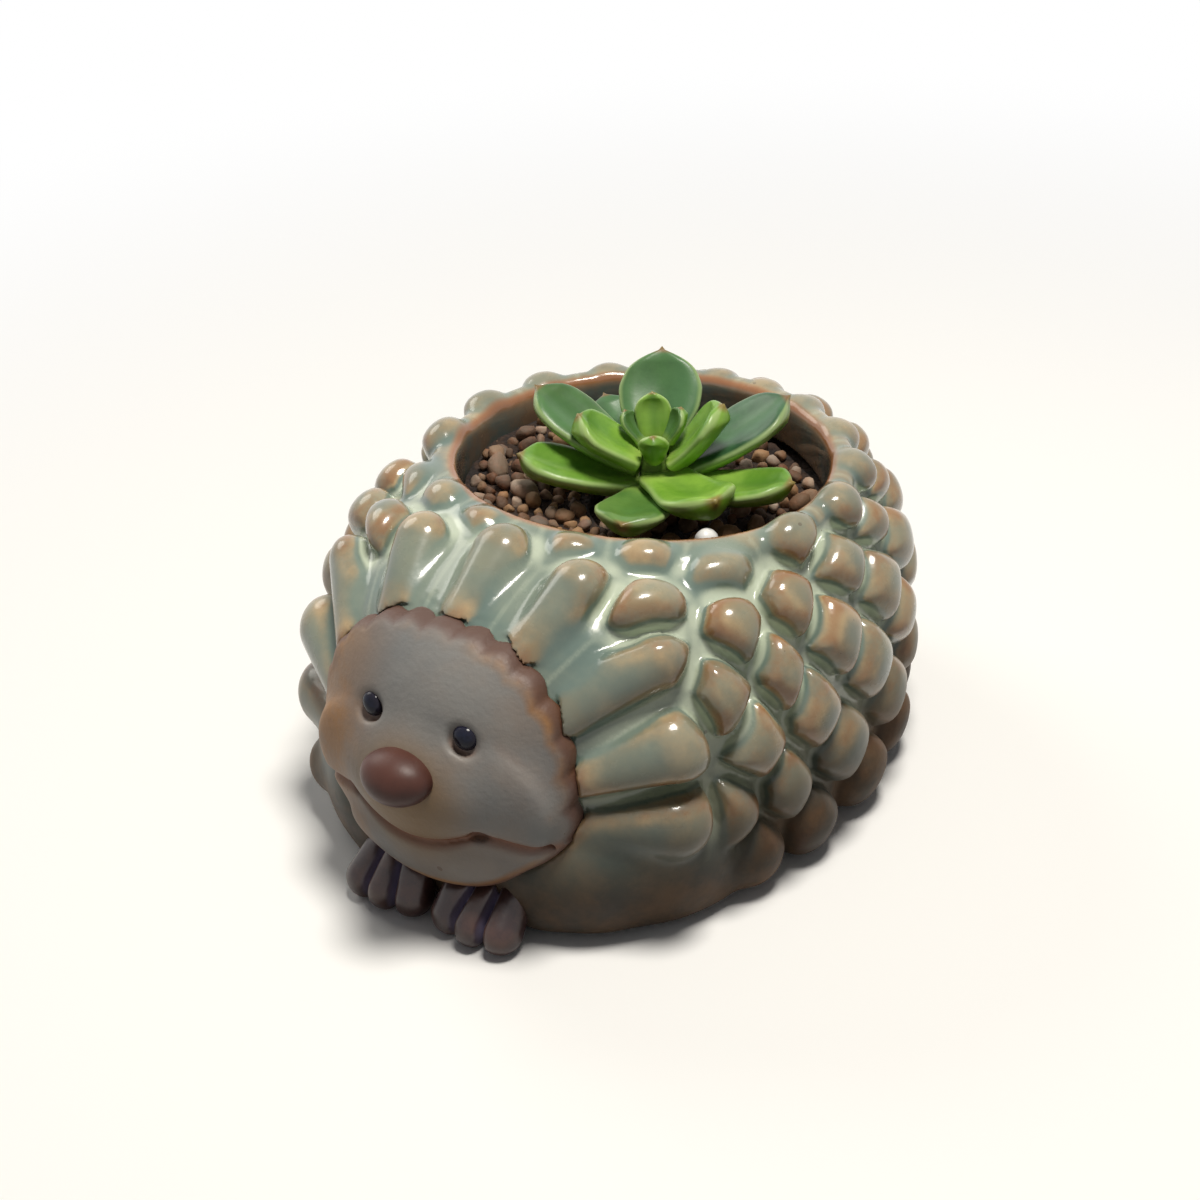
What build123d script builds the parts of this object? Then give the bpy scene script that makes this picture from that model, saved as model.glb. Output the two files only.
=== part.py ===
from build123d import *
from math import asin, cos, hypot, pi, radians, sin, sqrt
import os

os.makedirs("parts", exist_ok=True)

# A hedgehog shaped planter in millimetres: it faces -Y and stands on z = 0

# Wall of the pot
WALL_HALF_WIDTH = 46.5
WALL_HALF_LENGTH = 57.5
WIDEST_HEIGHT = 24.0
CROWN_RISE = 37.0
FOOT_DROP = 46.0
ROUNDNESS = 3.0
WALL_THICKNESS = 5.0
FLOOR_THICKNESS = 5.4
SHOULDER_DROP = 4.5
ROOF_THICKNESS = 7.0
FOOT_ROUND = 3.0
FOOT_RING_WIDTH = 8.0
FOOT_INSET = 1.0
FOOT_RECESS = 0.6
DRAIN_RADIUS = 5.0
PROFILE_STEPS = 10
REACH_ACCURACY = 1e-6

# Mouth and its rolled rim
MOUTH_WIDTH_SHARE = 0.72
MOUTH_LENGTH_SHARE = 0.548
MOUTH_BACK_SHARE = 0.1565
RIM_RISE = 1.5
RIM_THICKNESS = 5.0
RIM_ROUND = 1.8

# Lobes that stand for the spines, stuck on the wall with slip
SLIP_GAP = 0.15
CHANNEL = 1.2
FACE_SPINE_PAIRS = 4
FACE_SPINE_STEP = 27.0
FACE_SPINE_CROWDING = 1.0
FACE_SPINE_ROOT_SHARE = 0.87
FACE_SPINE_TIP_SHARE = 0.583
FACE_SPINE_SLANT_SHARE = 0.021
FACE_SPINE_ROOT_RADIUS = 3.4
FACE_SPINE_TIP_RADIUS = 5.9
LOWER_ROW_SHARES = [0.375, 0.834]
UPPER_ROW_SHARES = [0.216, 0.473, 0.69]
ODD_ROW_ANGLES = [65.0, 78.5, 96.0, 113.0, 130.0, 147.0, 163.5, 180.0]
EVEN_ROW_ANGLES = [60.0, 71.5, 86.5, 105.0, 121.5, 138.5, 155.0, 172.0]
SPINE_RADIUS = 5.4
SPINE_LEAST_RADIUS = 2.2
SPINE_TAIL_SHARE = 0.7
SPINE_TAIL_TAPER = 0.6
RIM_SPINE_ANGLES = [12.0, 33.0, 52.0, 74.0, 96.0, 117.5, 138.0, 156.0, 172.5]
RIM_SPINE_RADIUS = 4.6
RIM_SPINE_DROP = 3.0
RIM_SPINE_TILT = 1.5

# Face
FACE_LIFT = 5.0
FACE_WIDTH_SHARE = 0.548
FACE_HEIGHT_SHARE = 0.676
FACE_SQUARENESS = 2.4
FACE_THICKNESS = 3.0
FACE_CORNER_ANGLE = -17.0
CHIN_DROP = 13.5
SCALLOPS = 18
SCALLOP_DEPTH = 0.5
FACE_GAP = 0.3
BEAD_GAP = 0.1
MOUTH_LINE_DROP = 10.5
MOUTH_LINE_SMILE = 4.0
MOUTH_LINE_SHARE = 0.9
MOUTH_LINE_WIDTH = 0.9
MOUTH_LINE_DEPTH = 1.0
MUZZLE_DROP = 0.5
MUZZLE_HALF_WIDTH = 13.5
MUZZLE_HALF_HEIGHT = 9.0
MUZZLE_REACH = 7.0
NOSE_RISE = 4.5
NOSE_HALF_WIDTH = 6.6
NOSE_HALF_HEIGHT = 4.7
NOSE_HALF_DEPTH = 4.2
EYE_SPREAD = 9.5
EYE_RISE = 12.0
EYE_RADIUS = 2.4
EYE_SINK = 0.4

# Front paws
PAW_SPREAD = 9.4
PAW_TOES = 3
TOE_PITCH = 4.7
TOE_RADIUS = 3.8
TOE_HEIGHT = 3.6
PAW_REACH = 8.0
WRIST_HEIGHT = 7.5
WRIST_RADIUS = 3.4

# What the pot holds
FILL_GAP = 0.3
MESH_RADIUS = 11.0
MESH_THICKNESS = 1.0
MESH_HOLE = 1.6
MESH_PITCH = 2.6
DRAINAGE_DEPTH = 8.0
SOIL_DROP = 11.5
PLUG_DEPTH = 24.0
PLUG_TOP_RADIUS = 12.0
PLUG_BOTTOM_RADIUS = 9.0
GRAIN_PITCH = 4.2
GRAIN_RADIUS = 1.7
GRAIN_VARIATION = 0.35
GRAIN_MARGIN = 0.6
GRAIN_ROW_SHARE = 0.866
GRAIN_ROW_MIX = 12.9
GRAIN_COLUMN_MIX = 7.7
PEBBLE_SIDE_SHARE = 0.627
PEBBLE_FRONT_SHARE = 0.397
PEBBLE_RADIUS = 2.6

# Succulent
STEM_X = 3.0
STEM_RADIUS = 3.5
STEM_TOP_RADIUS = 1.8
STEM_HEIGHT = 14.8
BARE_STEM = 4.8
LEAF_LENGTH = 20.0
LEAF_WIDTH = 10.0
LEAF_THICKNESS = 4.0
LEAF_GAP = 0.15
LEAF_CROWN_SHARE = 0.35
LEAF_ROOT_DEPTH = 0.15
LEAF_DEPTH_SLOPE = 1.3
LEAF_SECTIONS = [
    (0.0, 0.30), (0.22, 0.58), (0.46, 0.90), (0.68, 1.0), (0.85, 0.82), (0.95, 0.46), (1.0, 0.10)
]

# Each leaf: turn from +X, share of the leafy stem below it, rise at its root and at its tip,
# then shares of the leaf length, width and thickness
LEAVES = [
    (117.0, 0.55, 30.0, 60.0, 1.0, 1.45, 1.0),
    (48.0, 0.32, 18.0, 36.0, 1.215, 1.5, 1.05),
    (183.0, 0.44, 16.0, 38.0, 1.2, 1.3, 1.05),
    (146.0, 0.12, 10.0, 28.0, 1.1, 1.1, 0.85),
    (211.0, 0.2, 5.0, 25.0, 1.09, 1.25, 1.0),
    (209.0, 0.67, 25.0, 52.0, 0.65, 1.0, 0.9),
    (124.0, 0.84, 70.0, 83.0, 0.44, 0.56, 0.65),
    (28.0, 0.67, 38.0, 56.0, 0.675, 0.95, 0.9),
    (54.0, 0.9, 60.0, 72.0, 0.34, 0.5, 0.6),
    (-72.0, 0.12, 2.0, 14.0, 0.95, 1.3, 0.9),
    (-34.0, 0.36, 4.0, 24.0, 0.9, 1.3, 1.0),
    (8.0, 0.16, 3.0, 18.0, 1.025, 1.2, 0.9),
    (176.0, 0.86, 46.0, 64.0, 0.34, 0.42, 0.5),
    (-60.0, 0.94, 70.0, 80.0, 0.23, 0.34, 0.45),
]

# Places that follow from the sizes
SHOULDER_HEIGHT = WIDEST_HEIGHT + CROWN_RISE - SHOULDER_DROP
RIM_HEIGHT = SHOULDER_HEIGHT + RIM_RISE
SOIL_HEIGHT = RIM_HEIGHT - SOIL_DROP
CAVITY_TOP = SHOULDER_HEIGHT - ROOF_THICKNESS
FLOOR_TOP = FOOT_RECESS + FLOOR_THICKNESS
DRAINAGE_TOP = FLOOR_TOP + DRAINAGE_DEPTH
MOUTH_HALF_WIDTH = WALL_HALF_WIDTH * MOUTH_WIDTH_SHARE
MOUTH_HALF_LENGTH = WALL_HALF_LENGTH * MOUTH_LENGTH_SHARE
MOUTH_BACK = WALL_HALF_LENGTH * MOUTH_BACK_SHARE
STEM_Y = MOUTH_BACK
PEBBLE_X = MOUTH_HALF_WIDTH * PEBBLE_SIDE_SHARE
PEBBLE_Y = MOUTH_BACK - MOUTH_HALF_LENGTH * PEBBLE_FRONT_SHARE
ROW_HEIGHTS = [WIDEST_HEIGHT * share for share in LOWER_ROW_SHARES]
ROW_HEIGHTS += [WIDEST_HEIGHT + CROWN_RISE * share for share in UPPER_ROW_SHARES]
FACE_HEIGHT = WIDEST_HEIGHT + FACE_LIFT
FACE_HALF_WIDTH = WALL_HALF_WIDTH * FACE_WIDTH_SHARE
FACE_HALF_HEIGHT = CROWN_RISE * FACE_HEIGHT_SHARE
CHIN_HEIGHT = WIDEST_HEIGHT - CHIN_DROP
MOUTH_LINE_HEIGHT = FACE_HEIGHT - MOUTH_LINE_DROP
MOUTH_LINE_CORNER = MOUTH_LINE_HEIGHT + MOUTH_LINE_SMILE
MOUTH_LINE_HALF_WIDTH = FACE_HALF_WIDTH * MOUTH_LINE_SHARE
MUZZLE_HEIGHT = FACE_HEIGHT - MUZZLE_DROP
NOSE_HEIGHT = MUZZLE_HEIGHT + NOSE_RISE
EYE_HEIGHT = FACE_HEIGHT + EYE_RISE


def section_share(height, growth=0.0):
    """Share of its widest section that the wall keeps at a height."""
    if height >= WIDEST_HEIGHT:
        reach = (height - WIDEST_HEIGHT) / (CROWN_RISE + growth)
    else:
        reach = (WIDEST_HEIGHT - height) / (FOOT_DROP + growth)
    return max(0.0, 1.0 - reach**ROUNDNESS) ** (1.0 / ROUNDNESS)


def dome(growth, low, high, foot_round=0.0):
    """Solid of the wall's shape, grown outwards, between two heights."""
    half_width = WALL_HALF_WIDTH + growth
    half_length = WALL_HALF_LENGTH + growth
    start = low + foot_round
    heights = [start + (high - start) * step / PROFILE_STEPS for step in range(PROFILE_STEPS + 1)]
    side = [(half_width * section_share(height, growth), 0, height) for height in heights]
    lines = [Spline(*side)]
    foot_edge = side[0]
    if foot_round:
        foot_edge = (side[0][0] - foot_round, 0, low)
        middle = (side[0][0] - foot_round * (1 - cos(pi / 4)), 0, start - foot_round * sin(pi / 4))
        lines.append(ThreePointArc(foot_edge, middle, side[0]))
    lines.append(Polyline(side[-1], (0, 0, high), (0, 0, low), foot_edge))
    turned = revolve(make_face(lines), axis=Axis.Z)
    return scale(turned, by=(1, half_length / half_width, 1))


def mouth_block(growth, low, high):
    """Upright block with the mouth's oval outline, grown outwards."""
    outline = Ellipse(MOUTH_HALF_WIDTH + growth, MOUTH_HALF_LENGTH + growth)
    return Pos(0, MOUTH_BACK, low) * extrude(outline, amount=high - low)


def wall_block(growth):
    """The pot without its hollow, grown outwards, to trim what sits on it."""
    body = dome(growth, -FOOT_ROUND, SHOULDER_HEIGHT + growth)
    rim = mouth_block(RIM_THICKNESS + growth, WIDEST_HEIGHT, RIM_HEIGHT + growth)
    return body + rim


def wall_point(angle, height):
    """Point of the wall at an angle from the front and a height."""
    share = section_share(height)
    across = WALL_HALF_WIDTH * share * sin(radians(angle))
    along = WALL_HALF_LENGTH * share * cos(radians(angle))
    return Vector(across, -along, height)


def wall_point_round_face(tilt, along):
    """Point of the wall in the half plane at a tilt from the top, at a place along Y."""
    low, high = 0.0, WALL_HALF_LENGTH
    while high - low > REACH_ACCURACY:
        middle = (low + high) / 2
        across = middle * sin(radians(tilt)) / WALL_HALF_WIDTH
        height = WIDEST_HEIGHT + middle * cos(radians(tilt))
        inside = across**2 + (along / WALL_HALF_LENGTH) ** 2 < section_share(height) ** 2
        if inside and height < SHOULDER_HEIGHT:
            low = middle
        else:
            high = middle
    return Vector(low * sin(radians(tilt)), along, WIDEST_HEIGHT + low * cos(radians(tilt)))


def front_y(x, height, growth=0.0):
    """Y of the wall's front at a place in the front view."""
    across = x / (WALL_HALF_WIDTH + growth)
    depth = section_share(height, growth) ** 2 - across**2
    return -(WALL_HALF_LENGTH + growth) * depth**0.5


def wall_normal(point):
    """Outward direction of the wall at one of its points."""
    share = section_share(point.Z)
    if point.Z >= WIDEST_HEIGHT:
        slope = -(((point.Z - WIDEST_HEIGHT) / CROWN_RISE) ** (ROUNDNESS - 1)) / CROWN_RISE
    else:
        slope = ((WIDEST_HEIGHT - point.Z) / FOOT_DROP) ** (ROUNDNESS - 1) / FOOT_DROP
    upward = -(share ** (2 - ROUNDNESS)) * slope
    return Vector(point.X / WALL_HALF_WIDTH**2, point.Y / WALL_HALF_LENGTH**2, upward).normalized()


def lobe_outline(length, root_radius, tip_radius):
    """Half outline of a rounded cone with a ball at each end, up the Z axis."""
    lean = asin((tip_radius - root_radius) / length)
    root_turn = -(lean + pi / 2) / 2
    tip_turn = (pi / 2 - lean) / 2
    root_pole = (0, 0, -root_radius)
    root_middle = (root_radius * cos(root_turn), 0, root_radius * sin(root_turn))
    root_side = (root_radius * cos(lean), 0, -root_radius * sin(lean))
    tip_side = (tip_radius * cos(lean), 0, length - tip_radius * sin(lean))
    tip_middle = (tip_radius * cos(tip_turn), 0, length + tip_radius * sin(tip_turn))
    tip_pole = (0, 0, length + tip_radius)
    outline = [
        ThreePointArc(root_pole, root_middle, root_side),
        Line(root_side, tip_side),
        ThreePointArc(tip_side, tip_middle, tip_pole),
        Line(tip_pole, root_pole),
    ]
    return make_face(outline)


def lobe(root, tip, root_radius, tip_radius):
    """Rounded cone between two places."""
    run = tip - root
    outline = lobe_outline(run.length, root_radius, tip_radius)
    return Plane(origin=root, z_dir=run) * revolve(outline, axis=Axis.Z)


def stud(centre, radius):
    """Half a rounded cone with its flat side on the wall and its narrow end hanging down."""
    normal = wall_normal(centre)
    climb = (Vector(0, 0, 1) - normal * normal.Z).normalized()
    drop = radius * SPINE_TAIL_SHARE
    outline = lobe_outline(drop, radius * SPINE_TAIL_TAPER, radius)
    half = revolve(outline, axis=Axis.Z, revolution_arc=180)
    root = centre - climb * drop + normal * SLIP_GAP
    return Plane(origin=root, x_dir=normal.cross(climb), z_dir=climb) * half


def ellipsoid(half_x, half_y, half_z):
    """Ball stretched along the three axes."""
    return scale(Sphere(1), by=(half_x, half_y, half_z))


def save(name, *solids):
    """Write one node, as one solid or as a group of separate solids."""
    pieces = [solid for item in solids for solid in item.solids()]
    shape = pieces[0] if len(pieces) == 1 else Compound(children=pieces)
    export_step(shape, f"parts/{name}.step")


# Pot shell with its mouth, foot ring and drain hole
def make_pot_shell():
    body = dome(0, FOOT_RECESS, SHOULDER_HEIGHT, FOOT_ROUND)
    rim = mouth_block(RIM_THICKNESS, WIDEST_HEIGHT, RIM_HEIGHT)
    rim = fillet(rim.edges().group_by(Axis.Z)[-1], RIM_ROUND)
    cavity = dome(-WALL_THICKNESS, FLOOR_TOP, CAVITY_TOP)
    mouth = mouth_block(0, SOIL_HEIGHT, RIM_HEIGHT)
    drain = Pos(0, 0, FLOOR_TOP / 2) * Cylinder(DRAIN_RADIUS, 2 * FLOOR_TOP)
    foot_share = section_share(FOOT_RECESS + FOOT_ROUND)
    foot_half_width = WALL_HALF_WIDTH * foot_share - FOOT_ROUND - FOOT_INSET
    foot_half_length = WALL_HALF_LENGTH * foot_share - FOOT_ROUND - FOOT_INSET
    ring = Ellipse(foot_half_width, foot_half_length)
    ring -= Ellipse(foot_half_width - FOOT_RING_WIDTH, foot_half_length - FOOT_RING_WIDTH)
    foot = extrude(ring, amount=FOOT_RECESS + FLOOR_THICKNESS / 2)
    return body + foot + rim - cavity - mouth - drain


WALL_SEAT = wall_block(SLIP_GAP)


# Spines: every lobe is as large as its neighbours leave room for
def face_spines():
    places = []
    for pair in range(-FACE_SPINE_PAIRS, FACE_SPINE_PAIRS + 1):
        away = abs(pair)
        tilt = FACE_SPINE_STEP * away - FACE_SPINE_CROWDING * away**2
        tilt = tilt if pair > 0 else -tilt
        root = wall_point_round_face(tilt, -WALL_HALF_LENGTH * FACE_SPINE_ROOT_SHARE)
        tip_share = FACE_SPINE_TIP_SHARE + FACE_SPINE_SLANT_SHARE * away
        tip = wall_point_round_face(tilt, -WALL_HALF_LENGTH * tip_share)
        places.append((root, tip))
    return places


def row_centres(row):
    angles = ODD_ROW_ANGLES if row % 2 == 0 else EVEN_ROW_ANGLES
    other_side = [-angle for angle in angles if angle < 180]
    return [wall_point(angle, ROW_HEIGHTS[row]) for angle in angles + other_side]


def rim_centres():
    half_width = MOUTH_HALF_WIDTH + RIM_THICKNESS
    half_length = MOUTH_HALF_LENGTH + RIM_THICKNESS
    middle = Vector(0, MOUTH_BACK, RIM_HEIGHT - RIM_SPINE_DROP)
    places = []
    for angle in RIM_SPINE_ANGLES:
        across = half_width * sin(radians(angle))
        ahead = cos(radians(angle))
        for side in (-1, 1):
            places.append(middle + Vector(side * across, -half_length * ahead, RIM_SPINE_TILT * ahead))
    return places


def room_for(centre, centres, long_spines):
    """Radius that leaves a channel to the nearest neighbours."""
    apart = [(centre - other).length for other in centres if other is not centre]
    radius = (min(apart) - CHANNEL) / 2
    for root, tip in long_spines:
        run = tip - root
        share = min(1.0, max(0.0, (centre - root).dot(run) / run.dot(run)))
        near = root + run * share
        swell = FACE_SPINE_TIP_RADIUS - FACE_SPINE_ROOT_RADIUS
        long_radius = FACE_SPINE_ROOT_RADIUS + swell * share
        radius = min(radius, (centre - near).length - long_radius - CHANNEL)
    return radius


def make_spines():
    long_spines = face_spines()
    face_room = face_prism(FACE_GAP)
    petals = []
    for root, tip in long_spines:
        petal = lobe(root, tip, FACE_SPINE_ROOT_RADIUS, FACE_SPINE_TIP_RADIUS)
        petals.append(petal - WALL_SEAT - face_room)
    save("face_spines", *petals)
    collar = mouth_block(RIM_THICKNESS + SLIP_GAP, WIDEST_HEIGHT, RIM_HEIGHT)
    rows = [row_centres(row) for row in range(len(ROW_HEIGHTS))]
    rim = rim_centres()
    everyone = rim + [centre for row in rows for centre in row]
    for number, row in enumerate(rows, 1):
        studs = []
        for centre in row:
            radius = min(SPINE_RADIUS, room_for(centre, everyone, long_spines))
            if radius > SPINE_LEAST_RADIUS:
                studs.append(stud(centre, radius) - collar)
        save(f"spine_row_{number}", *studs)
    studs = []
    for centre in rim:
        radius = min(RIM_SPINE_RADIUS, room_for(centre, everyone, long_spines))
        if radius > SPINE_LEAST_RADIUS:
            studs.append(Pos(centre) * Sphere(radius) - WALL_SEAT)
    save("rim_spines", *studs)


# Face with its muzzle, nose and eyes
def face_edge(angle, growth):
    """Place on the face's outline in the front view, at an angle from +X."""
    across = cos(radians(angle)) / (FACE_HALF_WIDTH + growth)
    upward = sin(radians(angle)) / (FACE_HALF_HEIGHT + growth)
    reach = (abs(across) ** FACE_SQUARENESS + abs(upward) ** FACE_SQUARENESS) ** (-1 / FACE_SQUARENESS)
    return (reach * cos(radians(angle)), 0, FACE_HEIGHT + reach * sin(radians(angle)))


def face_prism(growth):
    """Block behind the face's scalloped outline, cut through the front half."""
    sweep = (180 - 2 * FACE_CORNER_ANGLE) / SCALLOPS
    outline = []
    for step in range(SCALLOPS):
        start = FACE_CORNER_ANGLE + sweep * step
        crest = face_edge(start + sweep / 2, growth + SCALLOP_DEPTH)
        outline.append(ThreePointArc(face_edge(start, growth), crest, face_edge(start + sweep, growth)))
    right = face_edge(FACE_CORNER_ANGLE, growth)
    left = face_edge(180 - FACE_CORNER_ANGLE, growth)
    outline.append(ThreePointArc(left, (0, 0, CHIN_HEIGHT - growth), right))
    return extrude(make_face(outline), amount=2 * WALL_HALF_LENGTH, dir=(0, -1, 0))


def face_y(x, height, sink=0.0):
    return front_y(x, height, SLIP_GAP + FACE_THICKNESS - sink)


def make_face_pieces():
    slab = (wall_block(SLIP_GAP + FACE_THICKNESS) - WALL_SEAT) & face_prism(0)
    muzzle_y = front_y(0, MUZZLE_HEIGHT)
    muzzle = ellipsoid(MUZZLE_HALF_WIDTH, MUZZLE_REACH, MUZZLE_HALF_HEIGHT)
    muzzle = Pos(0, muzzle_y, MUZZLE_HEIGHT) * muzzle
    corner = MOUTH_LINE_HALF_WIDTH
    line = ThreePointArc(
        (-corner, 0, MOUTH_LINE_CORNER), (0, 0, MOUTH_LINE_HEIGHT), (corner, 0, MOUTH_LINE_CORNER)
    )
    band = make_face(
        [
            line,
            Line(line @ 1, line @ 1 + Vector(0, 0, MOUTH_LINE_WIDTH)),
            Pos(0, 0, MOUTH_LINE_WIDTH) * line,
            Line(line @ 0, line @ 0 + Vector(0, 0, MOUTH_LINE_WIDTH)),
        ]
    )
    groove = extrude(band, amount=2 * WALL_HALF_LENGTH, dir=(0, -1, 0))
    groove -= wall_block(SLIP_GAP + FACE_THICKNESS - MOUTH_LINE_DEPTH)
    plate = slab - groove + (muzzle - WALL_SEAT)

    nose_lift = (NOSE_HEIGHT - MUZZLE_HEIGHT) / MUZZLE_HALF_HEIGHT
    nose_place = Pos(0, muzzle_y - MUZZLE_REACH * sqrt(1 - nose_lift**2), NOSE_HEIGHT)
    nose = nose_place * ellipsoid(NOSE_HALF_WIDTH, NOSE_HALF_DEPTH, NOSE_HALF_HEIGHT)
    plate -= nose_place * ellipsoid(
        NOSE_HALF_WIDTH + BEAD_GAP, NOSE_HALF_DEPTH + BEAD_GAP, NOSE_HALF_HEIGHT + BEAD_GAP
    )
    save("nose", nose)
    for name, side in (("left_eye", 1), ("right_eye", -1)):
        place = Pos(side * EYE_SPREAD, face_y(EYE_SPREAD, EYE_HEIGHT, EYE_SINK), EYE_HEIGHT)
        save(name, place * Sphere(EYE_RADIUS))
        plate -= place * Sphere(EYE_RADIUS + BEAD_GAP)
    save("face_plate", plate)


# Front paws
def make_paws():
    ground = Pos(0, 0, -TOE_RADIUS) * Box(4 * WALL_HALF_WIDTH, 4 * WALL_HALF_LENGTH, 2 * TOE_RADIUS)
    chin = face_prism(FACE_GAP)
    tip_y = front_y(0, TOE_HEIGHT) - PAW_REACH + TOE_RADIUS
    for name, side in (("left_paw", 1), ("right_paw", -1)):
        paw = None
        for toe in range(PAW_TOES):
            x = side * PAW_SPREAD + TOE_PITCH * (toe - (PAW_TOES - 1) / 2)
            wrist = Vector(x, front_y(x, WRIST_HEIGHT), WRIST_HEIGHT)
            tip = Vector(x, tip_y, TOE_HEIGHT)
            finger = lobe(wrist, tip, WRIST_RADIUS, TOE_RADIUS) - WALL_SEAT
            paw = finger if paw is None else paw + finger
        save(name, paw - ground - chin)


# What the pot holds
def fill(low, high):
    return dome(-WALL_THICKNESS - FILL_GAP, low, high)


def make_filling():
    mesh = Pos(0, 0, FLOOR_TOP + MESH_THICKNESS / 2) * Cylinder(MESH_RADIUS, MESH_THICKNESS)
    reach = int(MESH_RADIUS / MESH_PITCH)
    for column in range(-reach, reach + 1):
        for row in range(-reach, reach + 1):
            if hypot(abs(column) + 1, abs(row) + 1) * MESH_PITCH < MESH_RADIUS:
                place = Pos(column * MESH_PITCH, row * MESH_PITCH, FLOOR_TOP + MESH_THICKNESS / 2)
                mesh -= place * Box(MESH_HOLE, MESH_HOLE, 2 * MESH_THICKNESS)
    save("drain_mesh", mesh)
    recess = Pos(0, 0, FLOOR_TOP) * Cylinder(MESH_RADIUS + FILL_GAP, 2 * (MESH_THICKNESS + FILL_GAP))
    save("drainage_layer", fill(FLOOR_TOP, DRAINAGE_TOP) - recess)
    socket = plug(FILL_GAP, PLUG_DEPTH + FILL_GAP)
    save("potting_mix", fill(DRAINAGE_TOP, SOIL_HEIGHT) - socket)


def plug(growth, depth):
    shape = Cone(PLUG_BOTTOM_RADIUS + growth, PLUG_TOP_RADIUS + growth, depth)
    return Pos(STEM_X, STEM_Y, SOIL_HEIGHT - depth / 2) * shape


def make_gravel():
    half_width = MOUTH_HALF_WIDTH - GRAIN_RADIUS - GRAIN_MARGIN
    half_length = MOUTH_HALF_LENGTH - GRAIN_RADIUS - GRAIN_MARGIN
    rows = int(half_length / GRAIN_PITCH * 2)
    columns = int(half_width / GRAIN_PITCH) + 1
    grains = []
    for row in range(-rows, rows + 1):
        for column in range(-columns, columns + 1):
            x = GRAIN_PITCH * (column + 0.5 * (row % 2))
            y = MOUTH_BACK + GRAIN_PITCH * GRAIN_ROW_SHARE * row
            in_mouth = hypot(x / half_width, (y - MOUTH_BACK) / half_length) < 1
            off_plug = hypot(x - STEM_X, y - STEM_Y) > PLUG_TOP_RADIUS + GRAIN_RADIUS + GRAIN_MARGIN
            off_pebble = hypot(x - PEBBLE_X, y - PEBBLE_Y) > PEBBLE_RADIUS + GRAIN_RADIUS + GRAIN_MARGIN
            if in_mouth and off_plug and off_pebble:
                smaller = GRAIN_VARIATION * (0.5 + 0.5 * sin(GRAIN_ROW_MIX * row + GRAIN_COLUMN_MIX * column))
                radius = GRAIN_RADIUS * (1 - smaller)
                grains.append(Pos(x, y, SOIL_HEIGHT + radius) * Sphere(radius))
    save("top_dressing", *grains)
    save("white_pebble", Pos(PEBBLE_X, PEBBLE_Y, SOIL_HEIGHT + PEBBLE_RADIUS) * Sphere(PEBBLE_RADIUS))


# Succulent with its root plug
def leaf_depth(thickness, width_share):
    """Thickness of a leaf where it has a share of its full width."""
    return thickness * min(1.0, LEAF_ROOT_DEPTH + LEAF_DEPTH_SLOPE * width_share)


def leaf(turn, height, root_rise, tip_rise, length, width, thickness):
    outward = Vector(cos(radians(turn)), sin(radians(turn)), 0)
    sideways = Vector(-sin(radians(turn)), cos(radians(turn)), 0)
    stem_radius = STEM_RADIUS - (STEM_RADIUS - STEM_TOP_RADIUS) * height / STEM_HEIGHT
    root_crown = LEAF_CROWN_SHARE * leaf_depth(thickness, LEAF_SECTIONS[0][1])
    root_reach = stem_radius + LEAF_GAP + root_crown * sin(radians(root_rise))
    middle = Vector(STEM_X, STEM_Y, SOIL_HEIGHT + height) + outward * root_reach
    sections = []
    reached = 0.0
    for share, width_share in LEAF_SECTIONS:
        rise = radians(root_rise + (tip_rise - root_rise) * (reached + share) / 2)
        middle += (outward * cos(rise) + Vector(0, 0, sin(rise))) * (length * (share - reached))
        reached = share
        rise = radians(root_rise + (tip_rise - root_rise) * share)
        upward = outward * -sin(rise) + Vector(0, 0, cos(rise))
        half = sideways * (width * width_share / 2)
        depth = leaf_depth(thickness, width_share)
        crown = middle + upward * (depth * LEAF_CROWN_SHARE)
        keel = middle - upward * (depth * (1 - LEAF_CROWN_SHARE))
        over = ThreePointArc(middle - half, crown, middle + half)
        under = ThreePointArc(middle + half, keel, middle - half)
        sections.append(make_face([over, under]))
    return loft(sections)


def make_plant():
    save("root_plug", plug(0, PLUG_DEPTH))
    stem = Cone(STEM_RADIUS, STEM_TOP_RADIUS, STEM_HEIGHT)
    save("stem", Pos(STEM_X, STEM_Y, SOIL_HEIGHT + STEM_HEIGHT / 2) * stem)
    for number, (turn, place, root_rise, tip_rise, *shares) in enumerate(LEAVES, 1):
        height = BARE_STEM + (STEM_HEIGHT - BARE_STEM) * place
        length, width, thickness = LEAF_LENGTH * shares[0], LEAF_WIDTH * shares[1], LEAF_THICKNESS * shares[2]
        save(f"leaf_{number:02d}", leaf(turn, height, root_rise, tip_rise, length, width, thickness))


save("pot_shell", make_pot_shell())
make_spines()
make_face_pieces()
make_paws()
make_filling()
make_gravel()
make_plant()
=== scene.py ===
import math

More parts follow.
